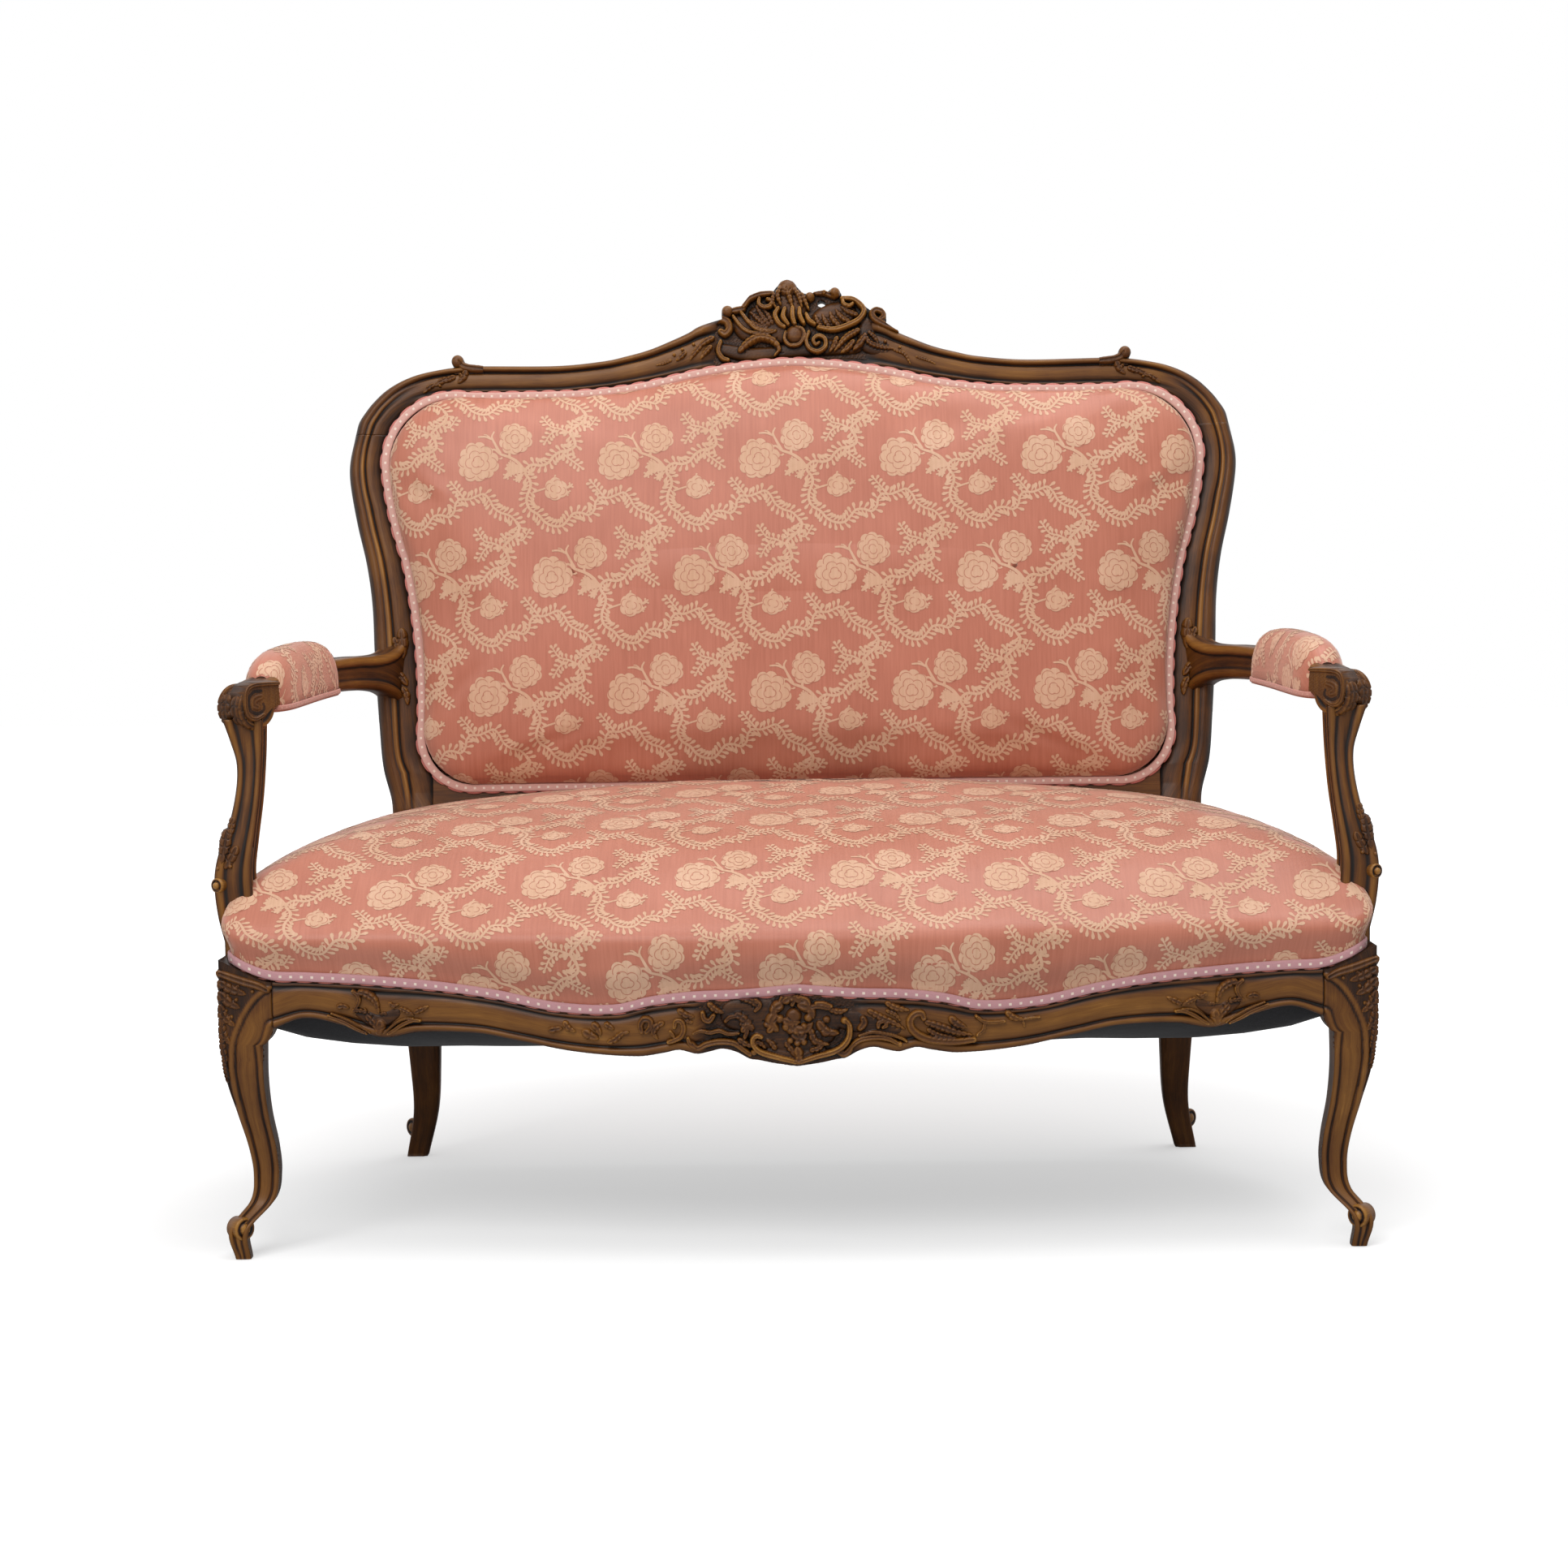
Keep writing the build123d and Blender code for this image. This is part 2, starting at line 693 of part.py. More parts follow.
def backWebbing():
    strips = []
    for k in range(6):
        x = 140 * (k - 2.5)
        strips.append(backPlane * block(x - webWide / 2, x + webWide / 2, -100, 700, webOut,
                                        webOut + webThick))
    return [strip & sheetOnBack(gimpWide + 2.5, 0, 5) for strip in strips]


def seatGimp():
    # a ribbon round the front and sides of the seat, just above the rails' carved faces
    spots = []
    for k in range(9):
        y = seatRearY - 6 - (seatRearY - 6 - legRearY + 20) * k / 8
        spots.append((sideX(y) - rebate + gap + cloth, y, sideGimpZ(y)))
    corner = (kneeHalf - 4 - rebate + gap + cloth, kneeFrontY + rebate - gap - cloth)
    bend = 18
    for a in (20, 45, 70):
        t = a * pi / 180
        spots.append((corner[0] - bend * (1 - cos(t)), corner[1] + bend * (1 - sin(t)),
                      frontGimpZ(kneeHalf - 6)))
    for k in range(19):
        x = (kneeHalf - 40) * (1 - k / 18)
        spots.append((x, frontY(x) + rebate - gap - cloth, frontGimpZ(x)))
    spots = spots + [(-x, y, z) for x, y, z in spots[-2::-1]]
    slices = []
    for i, (x, y, z) in enumerate(spots):
        before, after = spots[max(i - 1, 0)], spots[min(i + 1, len(spots) - 1)]
        way = Vector(after[0] - before[0], after[1] - before[1], 0).normalized()
        out = Vector(-way.Y, way.X, 0)
        plane = Plane(origin=(x, y, z + gimpWide / 2 + 0.5), x_dir=out, z_dir=way)
        slices.append(plane * Pos(gimpThick / 2 + gap, 0, 0) * Rectangle(gimpThick, gimpWide))
    return slices


def padGimp():
    ribbon = padForm(-gimpThick - gap, 0) - padForm(-gap, 20)
    low = armLowZ(padMidY) - 10
    return ribbon & block(0, 900, -500, 500, low, low + 15 + gimpWide)


def cornerBlocks():
    # glued into the corners of the seat frame and cut to its pieces
    low, high = webHeight + 9, railTop - 8
    inner = kneeHalf - 4 - sideThick
    behind = legRearY + blockSize
    ahead = stileY - blockSize
    front = [(jointHalf - blockSize, frontDipY + 20), (kneeHalf - 20, frontDipY + 20),
             (kneeHalf - 20, behind),
             (inner, behind)]
    rear = [(rearInner - blockSize, stileY + 10), (stileHalf + 10, stileY + 10), (sideX(ahead), ahead),
            (sideX(ahead) - sideThick, ahead)]
    return [raised(polygon(spots), low, high - low) for spots in (front, rear)]


def blockScrews():
    # two through each corner block into the leg behind it
    starts = [((jointHalf - 18, legRearY + 22), (jointHalf + 18, legRearY - 14)),
              ((rearInner - 8, stileY - 26), (rearInner + 16, stileY + 16))]
    screws = []
    for (x0, y0), (x1, y1) in starts:
        for z in (webHeight + 20, railTop - 24):
            way = Vector(x1 - x0, y1 - y0, 0).normalized()
            shank = rod((x0, y0, z), (x1, y1, z), screwRadius)
            screws.append(shank + rod((x0, y0, z), Vector(x0, y0, z) + way * 3, 2 * screwRadius))
    return screws


def armScrews():
    screws = []
    for z in (armHeight - 31, armHeight - 12):
        x = stileHalf + 8
        y = backY(z) + backThick
        shank = rod((x, y - 3, z), (x, y - backThick - 24, z), screwRadius)
        screws.append(shank + rod((x, y - 3, z), (x, y - 6, z), 2 * screwRadius))
    return screws


def webTacks(strips):
    # two in each end of each strip of webbing, driven up into the rail
    tacks = []
    for strip in strips:
        box = strip.bounding_box()
        wide, deep = box.max.X - box.min.X, box.max.Y - box.min.Y
        middle = box.center()
        for end in (-1, 1):
            for across in (-14, 14):
                if deep > wide:
                    x, y = middle.X + across, middle.Y + end * (deep / 2 - 5)
                else:
                    x, y = middle.X + end * (wide / 2 - 4), middle.Y + across
                low = box.min.Z
                shank = rod((x, y, low), (x, y, low + tackLong), 0.8)
                tacks.append(shank + rod((x, y, low - 0.7), (x, y, low), 2.6))
    return tacks


def onBoth(shape):
    return shape + mirrored(shape)


# Frame, with each tenon in its mortise
room = rebateRoom()
leg = frontLeg() - grown(railTenon(), tenonGap) - grown(sideTenon(), tenonGap) - room
rawRear = rearLeg()
rear = rawRear - grown(sideRearTenon(), tenonGap) - grown(rearTenon(), tenonGap)
rear = rear - grown(backTenon(), tenonGap)
side = sideRail() - rawRear - room + block(*sideTenon()) + block(*sideRearTenon())
side = side - grown(postTenon(), tenonGap)
frontBar = frontRail() - room + onBoth(block(*railTenon()))
rearBar = rearRail() - onBoth(rawRear) + onBoth(block(*rearTenon()))
dowels = crestDowels()
crest = crestRail()
for dowel in dowels:
    rear = rear - dowel
    crest = crest - dowel - mirrored(dowel)
bar = arm(rawRear)
post = armPost(bar) + block(*postTenon())
screws = armScrews()
for screw in screws:
    rear = rear - screw
    bar = bar - screw
rough = [wedge - frontBar - side - rearBar - leg - rear for wedge in cornerBlocks()]
blocks = [max(wedge.solids(), key=lambda solid: solid.volume) for wedge in rough]
longScrews = blockScrews()
for screw in longScrews:
    blocks = [wedge - screw for wedge in blocks]
    leg = leg - screw
    rear = rear - screw
    rearBar = rearBar - screw - mirrored(screw)
webbing = seatWebbing()
tacks = webTacks(webbing)
webbing = [strip - Compound(tacks) for strip in webbing]
allTacks = Compound(tacks)
frontBar = frontBar - allTacks
rearBar = rearBar - allTacks
side = side - allTacks
pair("front_leg", leg)
pair("rear_leg", rear)
pair("side_rail", side)
pair("arm", bar)
pair("arm_post", post)
made["front_rail"] = frontBar
made["rear_rail"] = rearBar
made["crest_rail"] = crest
made["lower_back_rail"] = lowerBackRail() + onBoth(block(*backTenon()))
made["crest_dowels"] = both(dowels)
made["corner_blocks"] = both(blocks)
made["corner_block_screws"] = both(longScrews)
made["arm_screws"] = both(screws)
print("frame made")

# Seat
notches = onBoth(postNotch())
overRails = block(-stileHalf - 20, stileHalf + 20, rearRailY - 1, stileY + 20, 0, railTop + gap)
cover = (seatForm(0, railTop - 90) - seatForm(cloth, railTop - 110)) & above(frontGimpZ, kneeHalf + 40, 0.5)
made["seat_cover"] = cover - overRails - notches
filling = seatForm(cloth + gap, railTop - 30) & block(-900, 900, -900, 900, railTop + 2 * gap + cloth, 900)
made["seat_stuffing"] = filling - hessian(cloth + gap) - notches
made["seat_hessian"] = hessian(cloth) - hessian(0) - notches
made["seat_springs"] = seatSprings()
made["seat_webbing"] = Compound(webbing)
made["webbing_tacks"] = allTacks
made["dust_cloth"] = dustCloth()
made["seat_gimp"] = loft(seatGimp(), ruled=True)
print("seat made")

# Back
backThrough = backThick * cos(lean)
made["back_cover"] = backCover()
made["back_stuffing"] = backForm(cloth + gap, stuffingOut)
made["back_hessian"] = sheetOnBack(gimpWide + 2.5, hessianOut, cloth)
made["back_webbing"] = Compound(backWebbing())
made["back_gimp"] = ringOnBack(0, gimpWide, cloth + 2 * gap, gimpThick)
made["outside_back_cover"] = sheetOnBack(4, -backThrough - gap - cloth, cloth)
made["outside_back_gimp"] = ringOnBack(2, gimpWide, -backThrough - 2 * gap - cloth - gimpThick, gimpThick)
print("back made")

# Arm pads
pair("arm_pad_stuffing", padForm(cloth + gap, 0) - bar)
pair("arm_pad_cover", padForm(0, 0) - padForm(cloth, 3) - bar)
pair("arm_pad_gimp", padGimp() - bar)
print("pads made")

for name, shape in made.items():
    print(name, len(shape.solids()), round(shape.volume), shape.is_valid)
os.makedirs("parts", exist_ok=True)
boxes = [shape.bounding_box() for shape in made.values()]
middleY = (min(box.min.Y for box in boxes) + max(box.max.Y for box in boxes)) / 2
for name, shape in made.items():
    export_step(Pos(0, -middleY, 0) * shape, "parts/" + name + ".step")
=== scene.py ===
import bpy
import numpy as np
from math import atan, cos, pi, radians, sin
from mathutils import Matrix, Vector
from mathutils.bvhtree import BVHTree


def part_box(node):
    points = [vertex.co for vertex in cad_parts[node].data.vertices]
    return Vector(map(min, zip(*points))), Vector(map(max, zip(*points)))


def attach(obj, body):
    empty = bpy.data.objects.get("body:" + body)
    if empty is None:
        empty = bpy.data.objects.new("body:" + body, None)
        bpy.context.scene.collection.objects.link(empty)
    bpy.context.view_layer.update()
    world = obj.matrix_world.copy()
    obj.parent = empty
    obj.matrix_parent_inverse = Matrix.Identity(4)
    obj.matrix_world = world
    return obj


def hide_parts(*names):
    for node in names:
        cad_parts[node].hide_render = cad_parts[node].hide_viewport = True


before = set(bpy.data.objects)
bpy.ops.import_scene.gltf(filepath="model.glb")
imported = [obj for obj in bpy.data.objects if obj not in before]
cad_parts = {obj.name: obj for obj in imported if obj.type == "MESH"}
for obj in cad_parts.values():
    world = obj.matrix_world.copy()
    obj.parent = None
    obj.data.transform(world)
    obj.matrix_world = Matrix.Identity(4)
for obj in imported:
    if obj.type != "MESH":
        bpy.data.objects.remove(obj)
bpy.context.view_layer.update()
rearRailFace = 226  # mm, front of the rear rail on the floor plan
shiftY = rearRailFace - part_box("rear_rail")[0].y * 1000  # mm from the floor plan's y to the frame's y
print("frame loaded, floor plan moved back", round(shiftY, 2), "mm")

# Shapes are drawn in mm on the floor plan, right half at +x, and go to metres in addPiece. A shape is
# (points, faces, wear, uv): wear is 0 in dark hollows and 1 on rubbed edges, and uv is in metres. Its dark
# end is old wax together with painted shade, laid in the hollows and grooves where shade falls.


def toLinear(code):
    values = [int(code[i:i + 2], 16) / 255 for i in (1, 3, 5)]
    return [v / 12.92 if v <= 0.04045 else ((v + 0.055) / 1.055) ** 2.4 for v in values] + [1]


def along(points, t):  # smooth value at t on a curve through (t, value) points
    x, v = np.array(points, float).T
    ends = np.diff(v) / np.diff(x)
    slope = np.r_[ends[0], (v[2:] - v[:-2]) / (x[2:] - x[:-2]), ends[-1]]
    t = np.clip(np.asarray(t, float), x[0], x[-1])
    i = np.clip(np.searchsorted(x, t, side="right") - 1, 0, len(x) - 2)
    h = x[i + 1] - x[i]
    f = (t - x[i]) / h
    return (v[i] * (1 + 2 * f) * (1 - f) ** 2 + v[i + 1] * f * f * (3 - 2 * f)
            + h * slope[i] * f * (1 - f) ** 2 - h * slope[i + 1] * f * f * (1 - f))


def run(path):  # distance along a line at each of its points
    return np.r_[0, np.cumsum(np.linalg.norm(np.diff(path, axis=0), axis=1))]


def evenly(path, count):  # the same line with evenly spaced points
    path = np.asarray(path, float)
    length = run(path)
    return np.stack([np.interp(np.linspace(0, length[-1], count), length, column) for column in path.T], 1)


def alongTable(place, table, t):  # every column of a table at t, where place belongs to its rows
    return np.stack([along(np.c_[place, column], t) for column in np.asarray(table, float).T], 1)


def smoothPath(points, count):  # an evenly spaced smooth line through the points
    line = np.array(points, float)
    if len(line) > 2:
        length = run(line)
        line = alongTable(length, line, np.linspace(0, length[-1], 12 * len(line)))
    return evenly(line, count)


def filledIn(place, table, least):  # the table with smooth rows between its own, up to 7 mm apart
    fine = [np.linspace(a, b, max(least, int((b - a) / 7) + 2)) for a, b in zip(place, place[1:])]
    return alongTable(place, table, np.unique(np.concatenate(fine)))


def xyz(x, y, z):  # points from their coordinates, single values repeated as needed
    return np.stack(np.broadcast_arrays(x, y, z), -1)


def unit(v):
    return v / np.maximum(np.linalg.norm(v, axis=-1, keepdims=True), 1e-9)


def leftOf(way):  # at right angles to each step of a flat line
    return np.stack([-way[..., 1], way[..., 0]], -1)


def outwardsOf(line, middle, closed=True):  # at right angles to a flat line, away from the middle
    step = np.roll(line, -1, 0) - np.roll(line, 1, 0) if closed else np.gradient(line, axis=0)
    out = leftOf(unit(step))
    return out * np.sign((out * (line - middle)).sum(1))[:, None]


def mirrored(points):
    points = np.asarray(points, float)
    return points * ([-1] + [1] * (points.shape[-1] - 1))


def bothHalves(right, closed=False):  # a line that ends on the middle, and its mirror image after it
    return np.concatenate([right, mirrored(right[-2:0 if closed else None:-1])])


def gridFaces(rows, columns, ring=False):
    i, j = np.meshgrid(np.arange(rows - 1), np.arange(columns if ring else columns - 1), indexing="ij")
    i, j = i.ravel(), j.ravel()
    n = (j + 1) % columns
    row, after = i * columns, (i + 1) * columns
    return np.stack([row + j, row + n, after + n, after + j], 1).tolist()


def cap(row, columns):  # one face over a whole row of a grid
    return list(range(row * columns, (row + 1) * columns))


def joined(parts):
    points, faces, base = [], [], 0
    for spots, cells in parts:
        points.append(spots)
        faces += [[base + k for k in cell] for cell in cells]
        base += len(spots)
    return np.concatenate(points), faces


def facesInwards(mesh, middle, facing):
    normals, centres = np.zeros(len(mesh.polygons) * 3), np.zeros(len(mesh.polygons) * 3)
    areas = np.zeros(len(mesh.polygons))
    mesh.polygons.foreach_get("normal", normals)
    mesh.polygons.foreach_get("center", centres)
    mesh.polygons.foreach_get("area", areas)
    normals = normals.reshape(-1, 3)
    if facing is None:  # a closed solid: its faces point away from the middle on the whole
        return (areas * (normals * (centres.reshape(-1, 3) - middle)).sum(1)).sum() < 0
    return normals.sum(0) @ np.array(facing, float) < 0


def addPiece(name, shape, material, stands=(), facing=None):
    points, faces, wear, uv = (*shape, None, None)[:4]
    mesh = bpy.data.meshes.new(name)
    places = (np.asarray(points, float).reshape(-1, 3) - (0, shiftY, 0)) / 1000
    mesh.from_pydata(places.tolist(), [], faces)
    mesh.update()
    if uv is not None:
        layer = mesh.uv_layers.new(name="Lengths")
        corner = np.zeros(len(mesh.loops), int)
        mesh.loops.foreach_get("vertex_index", corner)
        layer.data.foreach_set("uv", np.asarray(uv, np.float32).reshape(-1, 2)[corner].ravel())
    if wear is not None:
        attribute = mesh.attributes.new("wear", "FLOAT", "POINT")
        attribute.data.foreach_set("value", np.asarray(wear, np.float32).ravel())
    if facesInwards(mesh, places.mean(0), facing):
        mesh.flip_normals()
    mesh.shade_smooth()
    mesh.materials.append(material)
    piece = bpy.data.objects.new(name, mesh)
    bpy.context.scene.collection.objects.link(piece)
    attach(piece, "root")
    if stands:
        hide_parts(*stands)
    return piece


def addPair(name, shape, node=None, facing=None):  # a carved walnut piece on the right and on the left
    for side, points, hand in (("right", shape[0], 1), ("left", mirrored(shape[0]), -1)):
        way = None if facing is None else np.array(facing) * (hand, 1, 1)
        addPiece(name + "_" + side, (points, *shape[1:]), polishedWalnut,
                 [node + "_" + side] if node else (), way)


def addNode(tree, kind, links=None, **settings):
    node = tree.nodes.new("ShaderNode" + kind)
    for name, value in settings.items():
        if name == "stops":  # colours along a ramp
            while len(node.color_ramp.elements) < len(value):
                node.color_ramp.elements.new(1)
            for element, (place, colour) in zip(node.color_ramp.elements, value):
                element.position = place
                element.color = toLinear(colour)
        else:
            setattr(node, name, value)
    for socket, value in (links or {}).items():
        if isinstance(value, bpy.types.NodeSocket):
            tree.links.new(value, node.inputs[socket])
        else:
            node.inputs[socket].default_value = value
    return node


def maths(tree, operation, *values):
    return addNode(tree, "Math", dict(enumerate(values)), operation=operation).outputs[0]


def coordinate(tree, kind):  # "UV" is along the piece, "Object" in the piece's own space
    return addNode(tree, "TexCoord").outputs[kind]


def noise(tree, place, scale, detail=2.0, stretch=None, **sockets):
    if stretch:
        place = addNode(tree, "Mapping", {"Vector": place, "Scale": stretch}).outputs[0]
    sockets = {"Vector": place, "Scale": scale, "Detail": detail, **sockets}
    return addNode(tree, "TexNoise", sockets).outputs[0]


def ramp(tree, tone, *stops):
    return addNode(tree, "ValToRGB", {0: tone}, stops=stops).outputs[0]


def spread(tree, value, sockets, **settings):
    return addNode(tree, "MapRange", {"Value": value, **sockets}, **settings).outputs[0]


def mixed(tree, share, one, other):
    return addNode(tree, "Mix", {0: share, 6: one, 7: toLinear(other)}, data_type="RGBA").outputs[2]


def startMaterial(name):
    material = bpy.data.materials.new(name)
    material.use_nodes = True
    material.node_tree.nodes.clear()
    return material, material.node_tree


def finishMaterial(tree, sockets, relief=None, strength=0.0, distance=0.0):  # distance in metres
    if relief is not None:
        bump = addNode(tree, "Bump", {"Height": relief, "Strength": strength, "Distance": distance})
        sockets = dict(sockets, Normal=bump.outputs[0])
    shader = addNode(tree, "BsdfPrincipled", sockets)
    addNode(tree, "OutputMaterial", {"Surface": shader.outputs[0]})


# Polished walnut: planed and carved, waxed, rubbed to gold on its edges, and dark in its hollows with old wax
# and with painted shade
walnutLook = {
    # the two darkest colours are old wax mixed with painted shade, used in hollows and grooves
    "hollow": "#0e0603",
    "shade": "#2e1809",
    "face": "#5a3411",
    "light": "#7d511f",
    "rubbed": "#a07032",
    "grainAcross": 1.1,  # mm between pores
    "grainAlong": 26,
    "grainTone": 0.42,
    "patch": 60,  # mm, cloudy change of tone
    "patchTone": 0.5,
    "plainWear": 0.45,  # wear of the pieces that have none of their own
    "roughness": 0.36,
    "wax": 0.04,
}
# Sawn beech: pale and dry, for the blocks and dowels that nobody sees
beechLook = dict(walnutLook, hollow="#6b4a2c", shade="#8d6a44", face="#b08a5e", light="#c4a070",
                 rubbed="#d2b183", roughness=0.6)


def walnut(name, useUv=True, look=walnutLook):
    material, tree = startMaterial(name)
    place = coordinate(tree, "UV" if useUv else "Object")
    across, long = 1000 / look["grainAcross"], 1000 / look["grainAlong"]
    scale = (across, long, across) if useUv else (long, across, across)
    pores = noise(tree, place, 1.0, 4.0, scale, Roughness=0.65)
    rings = noise(tree, place, 1.0, 3.0, tuple(s * 0.16 for s in scale), Distortion=0.8)
    cloud = noise(tree, coordinate(tree, "Object"), 1000 / look["patch"], 3.0)
    if useUv:
        wear = addNode(tree, "Attribute", attribute_name="wear").outputs["Fac"]
    else:
        wear = addNode(tree, "Value").outputs[0]
        wear.default_value = look["plainWear"]
    grain = maths(tree, "ADD", maths(tree, "ADD", pores, rings), -1.0)
    tone = maths(tree, "MULTIPLY_ADD", grain, look["grainTone"], wear)
    tone = maths(tree, "MULTIPLY_ADD", maths(tree, "ADD", cloud, -0.5), look["patchTone"], tone)
    shades = [look[shade] for shade in ("hollow", "shade", "face", "light", "rubbed")]
    dull = spread(tree, tone, {"To Min": look["roughness"] + 0.2, "To Max": look["roughness"] - 0.04})
    finishMaterial(tree, {"Base Color": ramp(tree, tone, *zip((0.06, 0.27, 0.5, 0.78, 1.0), shades)),
                          "Roughness": dull, "IOR": 1.5, "Coat Weight": look["wax"], "Coat Roughness": 0.18,
                          "Specular IOR Level": 0.24}, grain, 0.16, 0.0004)
    return material


# Silk damask: a satin ground, so it shines along its warp, with the figure in a matter cream weft
damaskLook = {
    "ground": ("#ac644d", "#c27962", 0.42),  # dark, light, roughness
    "figure": ("#c99b7b", "#dbb295", 0.62),
    "threads": 0.55,  # mm, drawn coarser than the real 0.15 so that it shows
    "streak": (3.2, 70),  # mm across and along the warp
    "sheen": 0.6,
    "tint": "#f7dccd",
}


def damask(name, dark, light, roughness, look=damaskLook):
    material, tree = startMaterial(name)
    place = coordinate(tree, "UV")
    streaks = noise(tree, place, 1.0, 4.0, tuple(1000 / s for s in look["streak"]) + (1.0,), Roughness=0.6)
    threads = 1000 / look["threads"]
    fine = addNode(tree, "Mapping", {"Vector": place, "Scale": (threads, threads, 1.0)}).outputs[0]
    weave = addNode(tree, "TexChecker", {"Vector": fine, "Scale": 1.0}).outputs["Fac"]
    tone = maths(tree, "ADD", streaks, noise(tree, place, 9.0))
    tone = spread(tree, maths(tree, "MULTIPLY_ADD", weave, 0.12, tone), {"From Min": 0.7, "From Max": 1.4})
    finishMaterial(tree, {"Base Color": ramp(tree, tone, (0.0, dark), (1.0, light)), "Roughness": roughness,
                          "IOR": 1.45, "Sheen Weight": look["sheen"], "Sheen Roughness": 0.45,
                          "Sheen Tint": toLinear(look["tint"]), "Anisotropic": 0.35}, tone, 0.12, 0.0003)
    return material


# Gimp: woven rayon braid, a mauve band with a row of cream pearls and coral loops along its outer edge
gimpLook = {"band": "#b98489", "bandLight": "#cf9da0", "dot": "#ecd9ca", "edge": "#8f4636", "pitch": 11.5,
            "wide": 10.5, "thick": 2.6, "loop": "#c97468", "loopShade": "#b9665c", "loopHalf": 10.6,
            "loopReach": 3.6}
# painted light: the back's braid is the seat's braid made lighter, as it looks where it faces the lamps
litBackGimpLook = dict(gimpLook, band="#c98f86", bandLight="#dfb7a8", edge="#b5605a")
padGimpLook = dict(gimpLook, band="#c07a6c", bandLight="#cf9484", dot="#d8a793", pitch=8.0, wide=6, thick=1.6)


def gimpBand(name, look):
    material, tree = startMaterial(name)
    uv = coordinate(tree, "UV")
    place = addNode(tree, "SeparateXYZ", {0: uv}).outputs
    turn = maths(tree, "FRACT", maths(tree, "MULTIPLY", place[0], 1000 / look["pitch"]))
    dot = maths(tree, "MULTIPLY", *[
        maths(tree, "LESS_THAN", maths(tree, "ABSOLUTE", maths(tree, "SUBTRACT", value, 0.5)), reach)
        for value, reach in ((turn, 0.13), (place[1], 0.15))])
    ribs = noise(tree, uv, 700.0)
    band = ramp(tree, ribs, (0.3, look["band"]), (0.7, look["bandLight"]))
    band = mixed(tree, maths(tree, "GREATER_THAN", place[1], 0.9), band, look["edge"])
    finishMaterial(tree, {"Base Color": mixed(tree, dot, band, look["dot"]), "Roughness": 0.7,
                          "Sheen Weight": 0.3}, ribs, 0.4, 0.0006)
    return material


def clothOf(name, light, dark, threads, roughness=0.85, sheen=0.1):  # plain weave, threads in mm
    material, tree = startMaterial(name)
    place = coordinate(tree, "Object")
    weave = addNode(tree, "TexChecker", {"Vector": place, "Scale": 1000 / threads}).outputs["Fac"]
    tone = maths(tree, "MULTIPLY_ADD", weave, 0.35, noise(tree, place, 350.0, 3.0))
    finishMaterial(tree, {"Base Color": ramp(tree, tone, (0.35, dark), (0.85, light)), "Roughness": roughness,
                          "Sheen Weight": sheen}, tone, 0.3, 0.0005)
    return material


def steel(name, light, dark):  # screws, drawn wire and cut tacks, dulled by age
    material, tree = startMaterial(name)
    spots = noise(tree, coordinate(tree, "Object"), 180.0, 4.0)
    finishMaterial(tree, {"Base Color": ramp(tree, spots, (0.35, dark), (0.65, light)), "Metallic": 1.0,
                          "Roughness": spread(tree, spots, {"To Min": 0.55, "To Max": 0.35})})
    return material


polishedWalnut = walnut("polishedWalnut")
plainWalnut = walnut("plainWalnut", useUv=False)
beech = walnut("sawnBeech", False, beechLook)
satinGround = damask("damaskSatinGround", *damaskLook["ground"])
creamFigure = damask("damaskCreamFigure", *damaskLook["figure"])
seatBraid = gimpBand("gimpBraid", gimpLook)
padBraid = gimpBand("gimpPadBraid", padGimpLook)
litBackBraid = gimpBand("gimpBackBraidLit", litBackGimpLook)
braidLoops = clothOf("gimpLoops", gimpLook["loop"], gimpLook["loopShade"], 0.8, 0.7, 0.3)
blackCotton = clothOf("blackCotton", "#1b1b20", "#08080a", 0.9)
juteWeb = clothOf("juteWebbing", "#a5865a", "#7b6240", 1.6)
backLining = clothOf("backLining", "#cf8c76", "#bb7764", 0.9)
screwSteel = steel("screwSteel", "#b8b2a6", "#7d776c")
springSteel = steel("springSteel", "#8f8a82", "#57524b")
tackSteel = steel("bluedTacks", "#4e5260", "#2c2e36")
print("materials made")

# Floor plan and heights, as in the CAD source
plan = {
    "kneeHalf": 633, "jointHalf": 575, "footFrontY": -285, "frontMidY": -335, "frontDipY": -304,
    "kneeFrontY": -306, "stileY": 230, "stileHalf": 507, "railTop": 348, "archHeight": 262, "webHeight": 272,
    "crownHeight": 489, "seamHeight": 920, "backBaseY": 235, "backBaseZ": 450, "backSlope": 0.187,
    "backCentreZ": 737, "backThick": 34, "railThick": 34, "sideThick": 30, "rebate": 8, "jointGap": 0.3,
}
lean = atan(plan["backSlope"])
backNormal = np.array([0, -cos(lean), sin(lean)])
backCentre = (0, plan["backCentreZ"])
legRearY = plan["kneeFrontY"] + 56
sideLong = plan["stileY"] - legRearY


def frontY(x):  # face of the front rail in plan
    w, middle, dip = plan["jointHalf"], plan["frontMidY"], plan["frontDipY"]
    return along([(-0.24 * w, middle + 3), (0, middle), (0.24 * w, middle + 3), (0.52 * w, middle + 16),
                  (0.86 * w, dip + 4), (w, dip), (plan["kneeHalf"], plan["kneeFrontY"])], np.abs(x))


def sideX(y):  # face of a side rail in plan
    k = plan["kneeHalf"]
    return along([(-0.1, k - 3), (0, k - 4), (0.2, k - 6), (0.42, k - 16), (0.63, k - 35), (0.81, k - 70),
                  (0.92, k - 98), (1, plan["stileHalf"] + 3)], (np.asarray(y, float) - legRearY) / sideLong)


def gimpZ(x):  # the line where the seat's cloth ends, seen from the front
    low = plan["railTop"] - 60
    return along([(0, low + 5), (60, low), (114, low - 2), (158, low - 7), (200, low - 16), (264, low - 13),
                  (328, low), (392, low + 9), (476, low + 16), (540, low + 20), (583, low + 24),
                  (633, low + 48)], np.abs(x))


